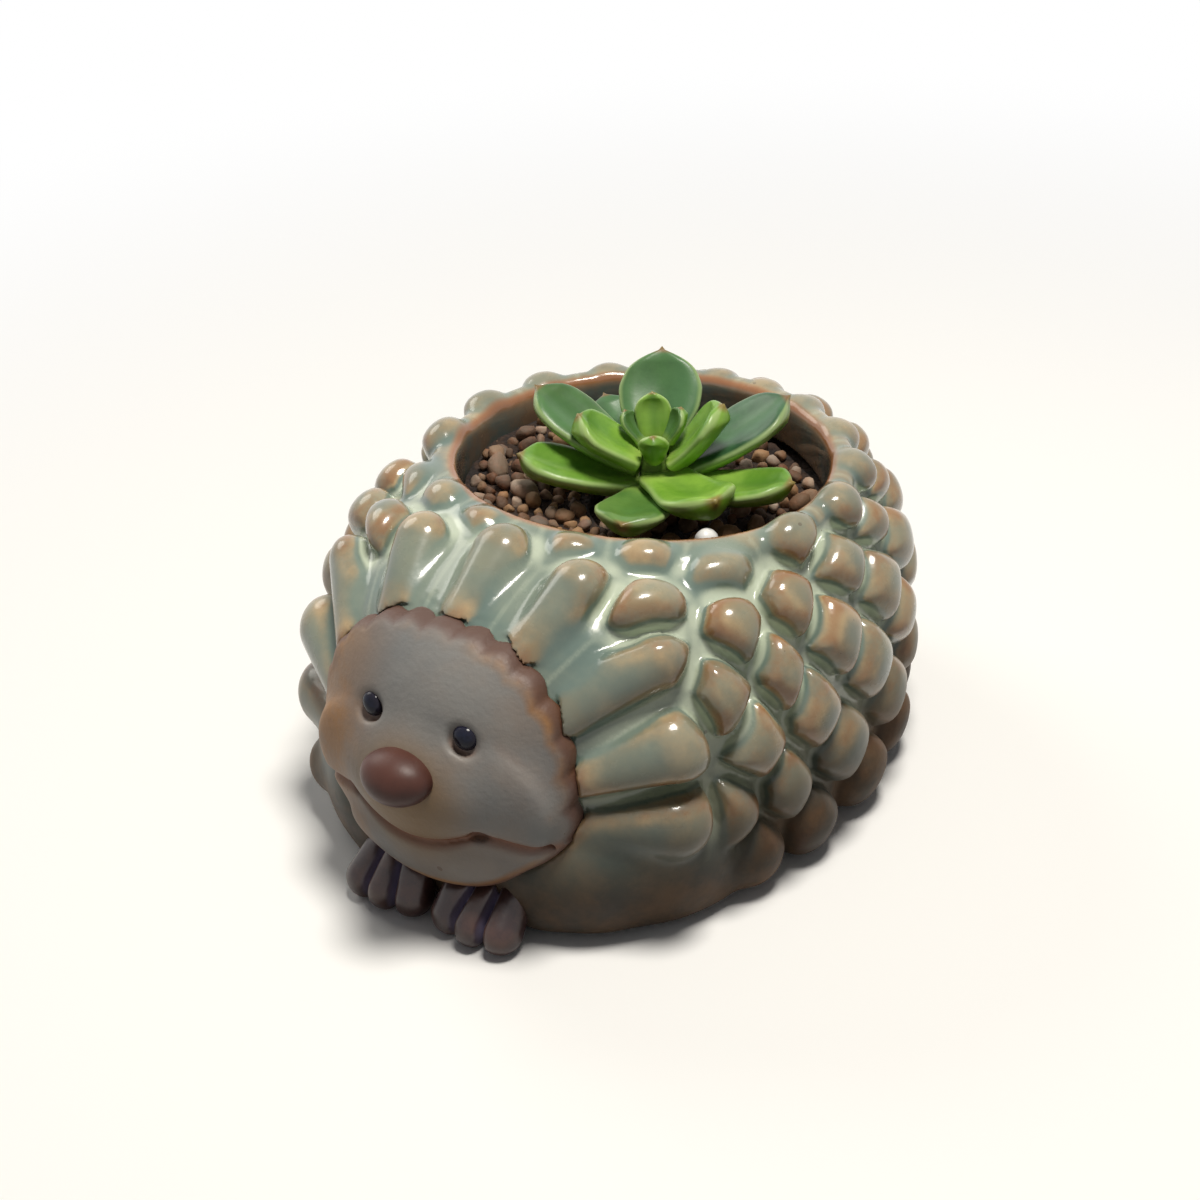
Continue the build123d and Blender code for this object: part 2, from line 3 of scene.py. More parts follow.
import bmesh
import bpy
import numpy as np
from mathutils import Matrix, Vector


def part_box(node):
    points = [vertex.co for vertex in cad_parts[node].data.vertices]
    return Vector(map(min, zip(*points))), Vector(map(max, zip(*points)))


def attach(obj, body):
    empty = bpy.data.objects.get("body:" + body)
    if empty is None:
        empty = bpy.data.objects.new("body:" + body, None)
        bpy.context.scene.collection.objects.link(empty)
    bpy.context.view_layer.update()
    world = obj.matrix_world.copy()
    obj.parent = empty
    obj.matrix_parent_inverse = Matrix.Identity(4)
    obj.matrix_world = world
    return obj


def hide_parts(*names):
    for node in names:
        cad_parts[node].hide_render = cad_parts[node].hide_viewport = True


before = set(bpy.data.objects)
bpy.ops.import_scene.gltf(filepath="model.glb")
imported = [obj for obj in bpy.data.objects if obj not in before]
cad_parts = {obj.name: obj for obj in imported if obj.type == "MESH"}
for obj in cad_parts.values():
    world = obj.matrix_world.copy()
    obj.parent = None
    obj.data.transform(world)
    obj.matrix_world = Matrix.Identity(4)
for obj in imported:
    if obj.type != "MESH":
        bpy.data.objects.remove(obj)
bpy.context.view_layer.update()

import openvdb
from mathutils import Matrix, Vector

mm = 0.001
scene = bpy.context.scene
scene.view_settings.view_transform = "Standard"
print("frame loaded", len(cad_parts), "nodes")


# Camera, light and floor
viewSettings = {
    "place": (178.88, -249.80, 223.23),  # mm
    "right": (0.82575, 0.56168, -0.05156),
    "up": (-0.27584, 0.48188, 0.83169),
    "ahead": (-0.49199, 0.67254, -0.55284),
    "lens": 59.65,
    "shift": (-0.0050, 0.0492),
    "sensor": 36.0,
    "clip": (0.01, 20.0),  # metres
}
lightSettings = {
    "sky": (0.93, 0.96, 1.0),
    "skyStrength": 0.10,
    "keyPlace": (0.13, 0.0, 0.76),
    "keySize": 0.22,
    "keyPower": 5.6,
    "keyColour": (1.0, 0.955, 0.88),
    "fillPlace": (-0.62, 0.12, 0.48),
    "fillSize": 0.4,
    "fillPower": 1.3,
    "fillColour": (1.0, 0.97, 0.9),
    "aim": (0.0, 0.0, 0.03),
    "floorColour": (0.95, 0.95, 0.94),
    "floorBounce": (0.26, 0.25, 0.24),
    "floorSize": 6.0,
    "floorRoughness": 0.9,
    "floorNear": 0.10,  # metres from the pot where the floor starts to turn white
    "floorFar": 0.42,
}


def makeCamera(s):
    camera = bpy.data.objects.new("camera", bpy.data.cameras.new("camera"))
    scene.collection.objects.link(camera)
    right, up, ahead = Vector(s["right"]), Vector(s["up"]), Vector(s["ahead"])
    turn = Matrix((right, up, -ahead)).transposed()
    camera.matrix_world = Matrix.Translation(Vector(s["place"]) * mm) @ turn.to_4x4()
    camera.data.lens = s["lens"]
    camera.data.sensor_width = s["sensor"]
    camera.data.shift_x, camera.data.shift_y = s["shift"]
    camera.data.clip_start, camera.data.clip_end = s["clip"]
    scene.camera = camera


def makeLamp(part, s):
    lamp = bpy.data.lights.new(f"{part}Light", "AREA")
    lamp.shape = "DISK"
    lamp.size = s[f"{part}Size"]
    lamp.energy = s[f"{part}Power"]
    lamp.color = s[f"{part}Colour"]
    holder = bpy.data.objects.new(f"{part}Light", lamp)
    scene.collection.objects.link(holder)
    holder.location = s[f"{part}Place"]
    aim = Vector(s["aim"]) - Vector(s[f"{part}Place"])
    holder.rotation_euler = aim.to_track_quat("-Z", "Y").to_euler()


def plainRays(tree):
    # the camera, reflections and glass see the white surroundings
    rays = tree.nodes.new("ShaderNodeLightPath").outputs
    mirrored = sums(tree, "MAXIMUM", rays["Is Glossy Ray"], rays["Is Transmission Ray"])
    return sums(tree, "MAXIMUM", rays["Is Camera Ray"], mirrored)


def makeStage(s):
    world = bpy.data.worlds.new("sky")
    scene.world = world
    world.use_nodes = True
    background = world.node_tree.nodes["Background"]
    sky = world.node_tree
    seen = plainRays(sky)
    sky.links.new(mixColour(sky, seen, (*s["sky"], 1), (1, 1, 1, 1)), background.inputs["Color"])
    strength = {"Value": seen, "To Min": s["skyStrength"], "To Max": 1.0}
    bright = addNode(sky, "ShaderNodeMapRange", strength)
    sky.links.new(bright.outputs["Result"], background.inputs["Strength"])
    makeLamp("key", s)
    makeLamp("fill", s)
    half = s["floorSize"] / 2
    mesh = bpy.data.meshes.new("floor")
    corners = [(-half, -half, 0), (half, -half, 0), (half, half, 0), (-half, half, 0)]
    mesh.from_pydata(corners, [], [(0, 1, 2, 3)])
    floor = bpy.data.objects.new("floor", mesh)
    scene.collection.objects.link(floor)
    finish = bpy.data.materials.new("paleFloor")
    finish.use_nodes = True
    tree = finish.node_tree
    shader = tree.nodes["Principled BSDF"]
    shader.inputs["Roughness"].default_value = s["floorRoughness"]
    seen = plainRays(tree)
    tone = mixColour(tree, seen, (*s["floorBounce"], 1), (*s["floorColour"], 1))
    tree.links.new(tone, shader.inputs["Base Color"])
    # far from the pot the camera sees plain white, and the floor near it keeps the shadow
    where = tree.nodes.new("ShaderNodeTexCoord").outputs["Object"]
    distance = addNode(tree, "ShaderNodeVectorMath", {0: where}, operation="LENGTH").outputs["Value"]
    far = ramp(tree, distance, s["floorNear"], s["floorFar"])
    seen = sums(tree, "MULTIPLY", far, seen)
    white = addNode(tree, "ShaderNodeEmission", {"Color": (1, 1, 1, 1)})
    parts = {0: seen, 1: shader.outputs["BSDF"], 2: white.outputs[0]}
    mixed = addNode(tree, "ShaderNodeMixShader", parts)
    tree.links.new(mixed.outputs[0], tree.nodes["Material Output"].inputs["Surface"])
    mesh.materials.append(finish)


# Shader tools
def tint(code):
    parts = [int(code[k:k + 2], 16) / 255 for k in (1, 3, 5)]
    return (*[p / 12.92 if p <= 0.04045 else ((p + 0.055) / 1.055) ** 2.4 for p in parts], 1.0)


def feed(tree, socket, value):
    if isinstance(value, bpy.types.NodeSocket):
        tree.links.new(value, socket)
    else:
        socket.default_value = value


def addNode(tree, kind, inputs=None, **settings):
    made = tree.nodes.new(kind)
    for key, value in settings.items():
        setattr(made, key, value)
    for key, value in (inputs or {}).items():
        feed(tree, made.inputs[key], value)
    return made


def mixColour(tree, share, first, second):
    inputs = {0: share, 6: first, 7: second}
    return addNode(tree, "ShaderNodeMix", inputs, data_type="RGBA").outputs[2]


def sums(tree, operation, first, second=0.0, clamp=False):
    made = addNode(tree, "ShaderNodeMath", {0: first, 1: second}, operation=operation, use_clamp=clamp)
    return made.outputs[0]


def ramp(tree, value, low, high, smooth=True):
    kind = "SMOOTHSTEP" if smooth else "LINEAR"
    inputs = {"Value": value, "From Min": low, "From Max": high}
    return addNode(tree, "ShaderNodeMapRange", inputs, interpolation_type=kind).outputs["Result"]


def without(tree, mask):
    return sums(tree, "SUBTRACT", 1.0, mask)


def painted(tree, name):
    return addNode(tree, "ShaderNodeAttribute", attribute_name=name).outputs["Fac"]


def startFinish(name):
    finish = bpy.data.materials.new(name)
    finish.use_nodes = True
    tree = finish.node_tree
    return finish, tree, tree.nodes["Principled BSDF"]


def startGroup(name, inputs, outputs):
    tree = bpy.data.node_groups.new(name, "ShaderNodeTree")
    for title, kind, value in inputs:
        socket = tree.interface.new_socket(name=title, in_out="INPUT", socket_type=kind)
        socket.default_value = value
    for title, kind in outputs:
        tree.interface.new_socket(name=title, in_out="OUTPUT", socket_type=kind)
    return tree, tree.nodes.new("NodeGroupInput").outputs, tree.nodes.new("NodeGroupOutput").inputs


def placeGroup(tree, group, **inputs):
    made = tree.nodes.new("ShaderNodeGroup")
    made.node_tree = group
    for key, value in inputs.items():
        feed(tree, made.inputs[key], value)
    return made.outputs


def makeMottle():
    # cloudy mix of two colours, with a mask of the clouds
    tree, given, out = startGroup(
        "mottle",
        [
            ("First", "NodeSocketColor", (1, 1, 1, 1)),
            ("Second", "NodeSocketColor", (0, 0, 0, 1)),
            ("Scale", "NodeSocketFloat", 60.0),
            ("Low", "NodeSocketFloat", 0.4),
            ("High", "NodeSocketFloat", 0.6),
        ],
        [("Colour", "NodeSocketColor"), ("Mask", "NodeSocketFloat")],
    )
    where = addNode(tree, "ShaderNodeTexCoord").outputs["Object"]
    inputs = {"Vector": where, "Scale": given["Scale"], "Detail": 5.0, "Roughness": 0.6}
    cloud = addNode(tree, "ShaderNodeTexNoise", inputs)
    mask = ramp(tree, cloud.outputs["Fac"], given["Low"], given["High"])
    tree.links.new(mixColour(tree, mask, given["First"], given["Second"]), out["Colour"])
    tree.links.new(mask, out["Mask"])
    return tree


def makeGrain():
    # fine bumpy height with a little coarse waviness
    number = "NodeSocketFloat"
    tree, given, out = startGroup(
        "surfaceGrain",
        [("Fine", number, 900.0), ("Coarse", number, 120.0), ("Share", number, 0.5)],
        [("Height", number)],
    )
    where = addNode(tree, "ShaderNodeTexCoord").outputs["Object"]
    layers = []
    for name, detail in (("Fine", 3.0), ("Coarse", 2.0)):
        inputs = {"Vector": where, "Scale": given[name], "Detail": detail}
        layers.append(addNode(tree, "ShaderNodeTexNoise", inputs).outputs["Fac"])
    inputs = {0: given["Share"], 2: layers[0], 3: layers[1]}
    mixed = addNode(tree, "ShaderNodeMix", inputs, data_type="FLOAT")
    tree.links.new(mixed.outputs[0], out["Height"])
    return tree


def makeSpecks():
    # scattered small dark spots
    tree, given, out = startGroup(
        "specks",
        [("Scale", "NodeSocketFloat", 300.0), ("Size", "NodeSocketFloat", 0.12)],
        [("Mask", "NodeSocketFloat")],
    )
    where = addNode(tree, "ShaderNodeTexCoord").outputs["Object"]
    cells = addNode(tree, "ShaderNodeTexVoronoi", {"Vector": where, "Scale": given["Scale"]})
    pick = addNode(tree, "ShaderNodeSeparateColor", {"Color": cells.outputs["Color"]}).outputs[0]
    reach = sums(tree, "MULTIPLY", given["Size"], ramp(tree, pick, 0.6, 1.0, smooth=False))
    near = sums(tree, "LESS_THAN", cells.outputs["Distance"], reach)
    tree.links.new(near, out["Mask"])
    return tree


makeCamera(viewSettings)
makeStage(lightSettings)
print("camera, light and floor ready")
mottle = makeMottle()
grain = makeGrain()
specks = makeSpecks()


def bumpFrom(tree, shader, height, strength, distance):
    inputs = {"Height": height, "Strength": strength, "Distance": distance}
    bump = addNode(tree, "ShaderNodeBump", inputs)
    tree.links.new(bump.outputs["Normal"], shader.inputs["Normal"])


# Recipes from the tones: clouds (two colours, scale, low, high), patches (scale, low, high), stains
# (strength, colour), specks (scale, size, strength, colour), grain (fine, coarse, share, strength, depth)
def clouds(tree, recipe):
    first, second, scale, low, high = recipe
    return placeGroup(
        tree, mottle, First=tint(first), Second=tint(second), Scale=scale, Low=low, High=high
    )


def patches(tree, recipe):
    scale, low, high = recipe
    return placeGroup(tree, mottle, Scale=scale, Low=low, High=high)["Mask"]


def stained(tree, colour, mask, recipe):
    strength, code = recipe
    return mixColour(tree, sums(tree, "MULTIPLY", mask, strength), colour, tint(code))


def speckled(tree, colour, recipe):
    scale, size, strength, code = recipe
    spots = placeGroup(tree, specks, Scale=scale, Size=size)
    return stained(tree, colour, spots["Mask"], (strength, code))


def roughened(tree, shader, recipe):
    fine, coarse, share, strength, depth = recipe
    surface = placeGroup(tree, grain, Fine=fine, Coarse=coarse, Share=share)
    bumpFrom(tree, shader, surface["Height"], strength, depth)


def coverWith(tree, shader, colour, s):
    tree.links.new(colour, shader.inputs["Base Color"])
    shader.inputs["Roughness"].default_value = s["roughness"]
    if "specular" in s:
        shader.inputs["Specular IOR Level"].default_value = s["specular"]
    if "grain" in s:
        roughened(tree, shader, s["grain"])


# Clay shapes as distance fields in millimetres
def smoothMin(first, second, blend):
    near = np.maximum(blend - np.abs(first - second), 0) / blend
    return np.minimum(first, second) - near * near * blend * 0.25


def smoothMax(first, second, blend):
    return -smoothMin(-first, -second, blend)


farAway = 9.0  # mm, where no lobe has been placed yet


class Clay:
    def __init__(self, low, high, step):
        self.low = np.array(low, float)
        self.step = step
        self.axes = [np.arange(low[k], high[k] + step, step, dtype=np.float32) for k in range(3)]
        self.values = None
        self.nearest = None
        self.second = None

    def everywhere(self):
        return self.axes[0][:, None, None], self.axes[1][None, :, None], self.axes[2][None, None, :]

    def near(self, middle, reach):
        here = []
        for k in range(3):
            first = int((middle[k] - reach - self.low[k]) / self.step)
            last = int((middle[k] + reach - self.low[k]) / self.step) + 2
            here.append(slice(max(0, first), max(0, min(last, len(self.axes[k])))))
        x = self.axes[0][here[0]][:, None, None]
        y = self.axes[1][here[1]][None, :, None]
        z = self.axes[2][here[2]][None, None, :]
        return tuple(here), x, y, z

    def press(self, shape, middle, reach, blend, cut=False):
        here, x, y, z = self.near(middle, reach)
        added = shape(x, y, z)
        if cut:
            self.values[here] = smoothMax(self.values[here], -added, blend)
        else:
            self.values[here] = smoothMin(self.values[here], added, blend)

    def blank(self):
        return np.full([len(a) for a in self.axes], farAway, np.float32)

    def startLobes(self):
        self.nearest = self.blank()
        self.second = self.blank()

    def addLobe(self, shape, middle, reach):
        here, x, y, z = self.near(middle, reach)
        added = np.minimum(shape(x, y, z), farAway).astype(np.float32)
        self.second[here] = np.minimum(self.second[here], np.maximum(self.nearest[here], added))
        self.nearest[here] = np.minimum(self.nearest[here], added)

    def lobes(self, depth, width):
        # lobes with a narrow channel wherever two of them meet
        gap = (self.second - self.nearest) / width
        return self.nearest + depth * np.exp(-gap * gap)

    def softened(self, cells):
        soft = self.values
        width = 2 * cells + 1
        for axis in range(3):
            edge = [(cells + 1, cells) if k == axis else (0, 0) for k in range(3)]
            total = np.cumsum(np.pad(soft, edge, mode="edge"), axis=axis, dtype=np.float64)
            count = total.shape[axis]
            high = np.take(total, np.arange(width, count), axis=axis)
            low = np.take(total, np.arange(0, count - width), axis=axis)
            soft = ((high - low) / width).astype(np.float32)
        return soft

    def sample(self, values, points):
        spot = (points - self.low) / self.step
        base = np.clip(np.floor(spot).astype(int), 0, np.array(values.shape) - 2)
        part = spot - base
        found = np.zeros(len(points))
        for corner in range(8):
            step = np.array([corner & 1, corner >> 1 & 1, corner >> 2 & 1])
            weight = np.prod(np.where(step, part, 1 - part), axis=1)
            cell = base + step
            found += weight * values[cell[:, 0], cell[:, 1], cell[:, 2]]
        return found

    def skin(self):
        grid = openvdb.FloatGrid(1.0)
        grid.copyFromArray(np.ascontiguousarray(self.values, dtype=np.float32))
        points, quads = grid.convertToQuads(0.0)
        return points.astype(float) * self.step + self.low, quads


# across, up, forwards
uprightAxes = (np.array([1.0, 0, 0]), np.array([0, 0, 1.0]), np.array([0, -1.0, 0]))


def ellipsoid(middle, axes, radii, lowerRadius=None):
    # egg when the second axis has another radius on its lower side
    def shape(x, y, z):
        offset = (x - middle[0], y - middle[1], z - middle[2])
        along = [sum(offset[k] * axis[k] for k in range(3)) for axis in axes]
        second = radii[1] if lowerRadius is None else np.where(along[1] > 0, radii[1], lowerRadius)
        sizes = (radii[0], second, radii[2])
        first = np.sqrt(sum((along[k] / sizes[k]) ** 2 for k in range(3))) + 1e-6
        slope = np.sqrt(sum((along[k] / sizes[k] ** 2) ** 2 for k in range(3))) + 1e-6
        return first * (first - 1) / slope

    return shape


def roundCone(root, tip, rootRadius, tipRadius):
    root, tip = np.array(root, float), np.array(tip, float)
    run = tip - root
    length = float(np.dot(run, run))
    taper = rootRadius - tipRadius
    slack = length - taper * taper

    def shape(x, y, z):
        px, py, pz = x - root[0], y - root[1], z - root[2]
        along = px * run[0] + py * run[1] + pz * run[2]
        beyond = along - length
        square = px * px + py * py + pz * pz
        side = np.maximum(square * length - along * along, 0) * length
        turn = np.sign(taper) * taper * taper * side
        rootEnd = np.sign(along) * slack * along * along * length
        tipEnd = np.sign(beyond) * slack * beyond * beyond * length
        tipSquare = (x - tip[0]) ** 2 + (y - tip[1]) ** 2 + (z - tip[2]) ** 2
        body = (np.sqrt(side * slack / length) + along * taper) / length - rootRadius
        body = np.where(tipEnd > turn, np.sqrt(tipSquare) - tipRadius, body)
        return np.where(rootEnd < turn, np.sqrt(square) - rootRadius, body)

    return shape


def makeObject(name, points, faces):
    mesh = bpy.data.meshes.new(name)
    places = [tuple(p) for p in np.asarray(points) * mm]
    mesh.from_pydata(places, [], [tuple(map(int, f)) for f in faces])
    mesh.validate()
    mesh.polygons.foreach_set("use_smooth", [True] * len(mesh.polygons))
    mesh.update()
    made = bpy.data.objects.new(name, mesh)
    scene.collection.objects.link(made)
    return made


def paint(piece, name, values):
    layer = piece.data.attributes.new(name, "FLOAT", "POINT")
    layer.data.foreach_set("value", np.asarray(values, dtype=np.float32))


def outwards(points, quads):
    first, second, third = points[quads[:, 0]], points[quads[:, 1]], points[quads[:, 2]]
    fourth = points[quads[:, 3]]
    volume = np.einsum("ij,ij->i", first, np.cross(second, third)).sum()
    volume += np.einsum("ij,ij->i", first, np.cross(third, fourth)).sum()
    return quads if volume > 0 else quads[:, ::-1]


def settle(clay, points, rounds):
    # draws the points onto the exact surface
    for _ in range(rounds):
        gradient = np.stack([
            clay.sample(clay.values, points + np.eye(3)[k] * clay.step / 2)
            - clay.sample(clay.values, points - np.eye(3)[k] * clay.step / 2)
            for k in range(3)
        ], axis=1) / clay.step
        size = np.maximum((gradient ** 2).sum(axis=1, keepdims=True), 0.05)
        points = points - clay.sample(clay.values, points)[:, None] * gradient / size
    return points


def fireClay(clay, name, rounds=2, lowest=None):
    points, quads = clay.skin()
    points = settle(clay, points, rounds)
    if lowest is not None:
        points[:, 2] = np.maximum(points[:, 2], lowest)
    return makeObject(name, points, outwards(points, quads)), points


# Wall of the pot: a rounded oval body
potSettings = {
    "halfWidth": 46.5,
    "halfLength": 57.5,
    "widest": 24.0,
    "crown": 37.0,
    "foot": 46.0,
    "wall": 5.0,
    "floorTop": 6.0,
    "cavityTop": 49.5,
    "soil": 46.5,
    "drain": 5.0,
    "recess": 0.6,
    "mouthWidth": 33.5,
    "mouthLength": 31.5,
    "mouthBack": 9.0,
    "rim": 58.0,
    "rimThickness": 5.0,
    "rimRound": 2.2,
    "collarFoot": 40.0,
    "collarBlend": 3.0,
    "mouthRound": 1.4,
    "faceGap": 0.05,
    "faceBack": 30.0,
    "faceEdge": 0.5,
    "baseRound": 2.5,
    "footOval": (40.0, 51.0),
    "footShare": 0.9,
    "footSpan": 44.0,
    "footHalf": 4.0,
    "footHeight": 3.0,
    "gridLow": (-56, -68, -2),
    "gridHigh": (56, 68, 68),
    "step": 0.6,
    "soften": 3,  # cells
    "crestScale": 0.55,
    "creaseScale": 0.5,
    "channelReach": 1.5,
    "lobeReach": 3.0,
    "lipReach": 5.0,
}


def wallField(x, y, z, growth=0.0, s=potSettings):
    width, length = s["halfWidth"] + growth, s["halfLength"] + growth
    across = (x / width) ** 2 + (y / length) ** 2
    ring = np.sqrt(across)
    above = z >= s["widest"]
    reach = np.where(above, s["crown"] + growth, s["foot"] + growth)
    lift = np.abs(z - s["widest"]) / reach
    total = np.maximum((ring ** 3 + lift ** 3) ** (1 / 3), 0.2)
    sideways = ring * np.sqrt((x / width ** 2) ** 2 + (y / length ** 2) ** 2)
    slope = np.sqrt(sideways ** 2 + (lift ** 2 / reach) ** 2) / total ** 2
    return np.clip((total - 1) / np.maximum(slope, 0.005), -15, 15)


def wallShare(z, s=potSettings):
    reach = s["crown"] if z >= s["widest"] else s["foot"]
    return max(0.0, 1 - (abs(z - s["widest"]) / reach) ** 3) ** (1 / 3)


def wallPoint(angle, z, s=potSettings):
    share = wallShare(z)
    turn = math.radians(angle)
    across, along = s["halfWidth"] * share, -s["halfLength"] * share
    return np.array([across * math.sin(turn), along * math.cos(turn), z])


def wallFrame(point, s=potSettings):
    # sideways, up the wall, outwards
    lift = point[2] - s["widest"]
    reach = s["crown"] if lift >= 0 else s["foot"]
    upward = math.copysign((abs(lift) / reach) ** 2 / reach, lift) / max(wallShare(point[2]), 0.2)
    out = np.array([point[0] / s["halfWidth"] ** 2, point[1] / s["halfLength"] ** 2, upward])
    out /= np.linalg.norm(out)
    climb = np.array([0, 0, 1]) - out * out[2]
    climb /= np.linalg.norm(climb)
    return np.cross(climb, out), climb, out


def wallRoundFace(tilt, along, s=potSettings):
    low, high = 0.0, s["halfLength"]
    turn = math.radians(tilt)
    for _ in range(40):
        middle = (low + high) / 2
        x, z = middle * math.sin(turn), s["widest"] + middle * math.cos(turn)
        inside = (x / s["halfWidth"]) ** 2 + (along / s["halfLength"]) ** 2 < wallShare(z) ** 2
        low, high = (middle, high) if inside else (low, middle)
    return np.array([low * math.sin(turn), along, s["widest"] + low * math.cos(turn)])


def mouthField(x, y, s=potSettings):
    width, length = s["mouthWidth"], s["mouthLength"]
    back = y - s["mouthBack"]
    ring = np.sqrt((x / width) ** 2 + (back / length) ** 2) + 1e-6
    slope = np.sqrt((x / width ** 2) ** 2 + (back / length ** 2) ** 2) / ring
    return (ring - 1) / np.maximum(slope, 0.02)


def frontY(x, z, growth=0.0, s=potSettings):
    reach = (s["crown"] if z >= s["widest"] else s["foot"]) + growth
    share = max(0.0, 1 - (abs(z - s["widest"]) / reach) ** 3) ** (2 / 3)
    width, length = s["halfWidth"] + growth, s["halfLength"] + growth
    return -length * math.sqrt(max(0.0, share - (x / width) ** 2))


# Outline of the face and line of the smile, seen from the front
faceSettings = {
    "middle": 29.0,
    "half": (25.5, 25.0),
    "power": 2.4,
    "chinMiddle": 42.9,
    "chinRadius": 32.4,
    "scallops": 13,
    "scallopDepth": 0.7,
    "scallopLevel": 0.6,
    "seat": 0.15,
    "thickness": 3.0,
    "edgeRound": 1.1,
    "muzzleHeight": 28.5,
    "muzzleHalf": (13.5, 9.0, 7.0),
    "muzzleBlend": 6.0,
    "jawHeight": 16.8,
    "jawOut": 1.2,
    "jawHalf": (15.0, 4.6, 3.4),
    "jawBlend": 4.0,
    "cheek": (15.5, 28.0),
    "cheekHalf": (8.0, 8.5, 2.8),
    "cheekOut": 1.6,
    "cheekBlend": 5.0,
    "cheekReach": 20,
    "muzzleReach": 26,
    "smileMiddle": 42.5,
    "smileRadius": 22.1,
    "smileEnd": 23.5,
    "smileFall": 0.2,
    "smileTint": 1.3,
    "dimple": (12.4, 24.2),
    "dimpleHalf": (1.5, 1.5, 1.2),
    "dimpleBlend": 1.2,
    "dimpleReach": 6,
    "grooveDepth": 1.1,
    "grooveWidth": 0.75,
    "eye": (9.5, 40.3),
    "eyeDent": (2.7, 2.6, 1.2),
    "eyeBlend": 1.4,
    "eyeReach": 8,
    "edgeReach": 12.0,
    "noseDrop": 5.0,
    "noseTint": 11.0,
    "gridLow": (-31, -74, 4),
    "gridHigh": (31, -24, 60),
    "step": 0.5,
    "soften": 3,  # cells
    "creaseScale": 0.35,
}


def faceOutline(x, z, s=faceSettings):
    across = np.abs(x) / s["half"][0]
    up = np.abs(z - s["middle"]) / s["half"][1]
    oval = (across ** s["power"] + up ** s["power"]) ** (1 / s["power"])
    turn = np.arctan2(x, z - s["middle"])
    scallop = s["scallopDepth"] * (s["scallopLevel"] - np.abs(np.cos(turn * s["scallops"])))
    chin = np.hypot(x, z - s["chinMiddle"]) - s["chinRadius"]
    return np.maximum((oval - 1) * s["half"][0] + scallop, chin)


def smileLine(x, s=faceSettings):
    middle = s["smileMiddle"] - np.sqrt(np.maximum(s["smileRadius"] ** 2 - x * x, 0))
    beyond = s["dimple"][1] - (np.abs(x) - s["dimple"][0]) * s["smileFall"]
    return np.where(np.abs(x) < s["dimple"][0], middle, beyond)


# Spines: long lobes round the face, rows of eggs on the flanks, nubs round the mouth
spineSettings = {
    "petalTilts": (0, 26, 50, 72, 92),
    "petalRootY": -50.0,
    "petalTipY": (-32.0, -33.0, -33.5, -37.0, -38.0),
    "petalRoot": (3.2, 3.3, 3.4, 4.0, 4.4),
    "petalTip": (5.7, 5.8, 6.2, 7.0, 7.4),
    "petalSink": (1.0, 1.0, 1.0, 1.7, 2.2),
    "petalTipSink": (1.2, 1.0, 0.8, 0.2, -0.8),
    "lowPetal": (-113.0, -41.0, 3.4, 6.4, 1.2, -1.6),  # tilt, tip place, radii, sinks
    "rowHeights": (9.0, 20.0, 32.0, 41.5, 49.5),
    "oddAngles": (65.0, 78.5, 96.0, 113.0, 130.0, 147.0, 163.5, 180.0),
    "evenAngles": (60.0, 71.5, 86.5, 105.0, 121.5, 138.5, 155.0, 172.0),
    "eggWidth": 0.53,  # share of the spacing in the row
    "eggWidest": 7.9,
    "eggUp": (7.4, 8.6, 8.5, 7.8, 6.0),
    "eggDown": (9.0, 9.6, 9.6, 9.2, 7.6),
    "eggOut": 5.2,
    "between": ((47.5, 54.0), (-47.5, 54.0)),
    "betweenEgg": (7.2, 6.0, 5.2),
    # turn round the mouth, share of the nub's width, slide down the shoulder
    "rimNubs": (
        (14.0, 1.0, 0.0),
        (33.0, 1.0, 0.0),
        (50.0, 1.3, 2.2),
        (74.0, 1.0, 0.0),
        (96.0, 1.0, 0.0),
        (117.5, 1.0, 0.0),
        (138.0, 1.0, 0.0),
        (156.0, 1.0, 0.0),
        (172.5, 1.0, 0.0),
    ),
    "rimNub": (5.6, 5.0, 3.9),
    "rimDrop": 3.0,
    "rimTilt": 1.5,
    "rimLean": 0.6,
    "channelDepth": 3.0,
    "channelWidth": 2.1,
    "blend": 1.6,
    "skirts": ((28.0, 7.0), (41.0, 6.0), (53.0, 6.0), (36.0, 15.0), (48.0, 15.0)),
    "skirtEgg": (9.0, 8.0, 4.0),
    "skirtBlend": 5.0,
    # how far from its middle each form is worked out
    "skirtReach": 18,
    "petalReach": 24,
    "eggReach": 17,
    "nubReach": 12,
}


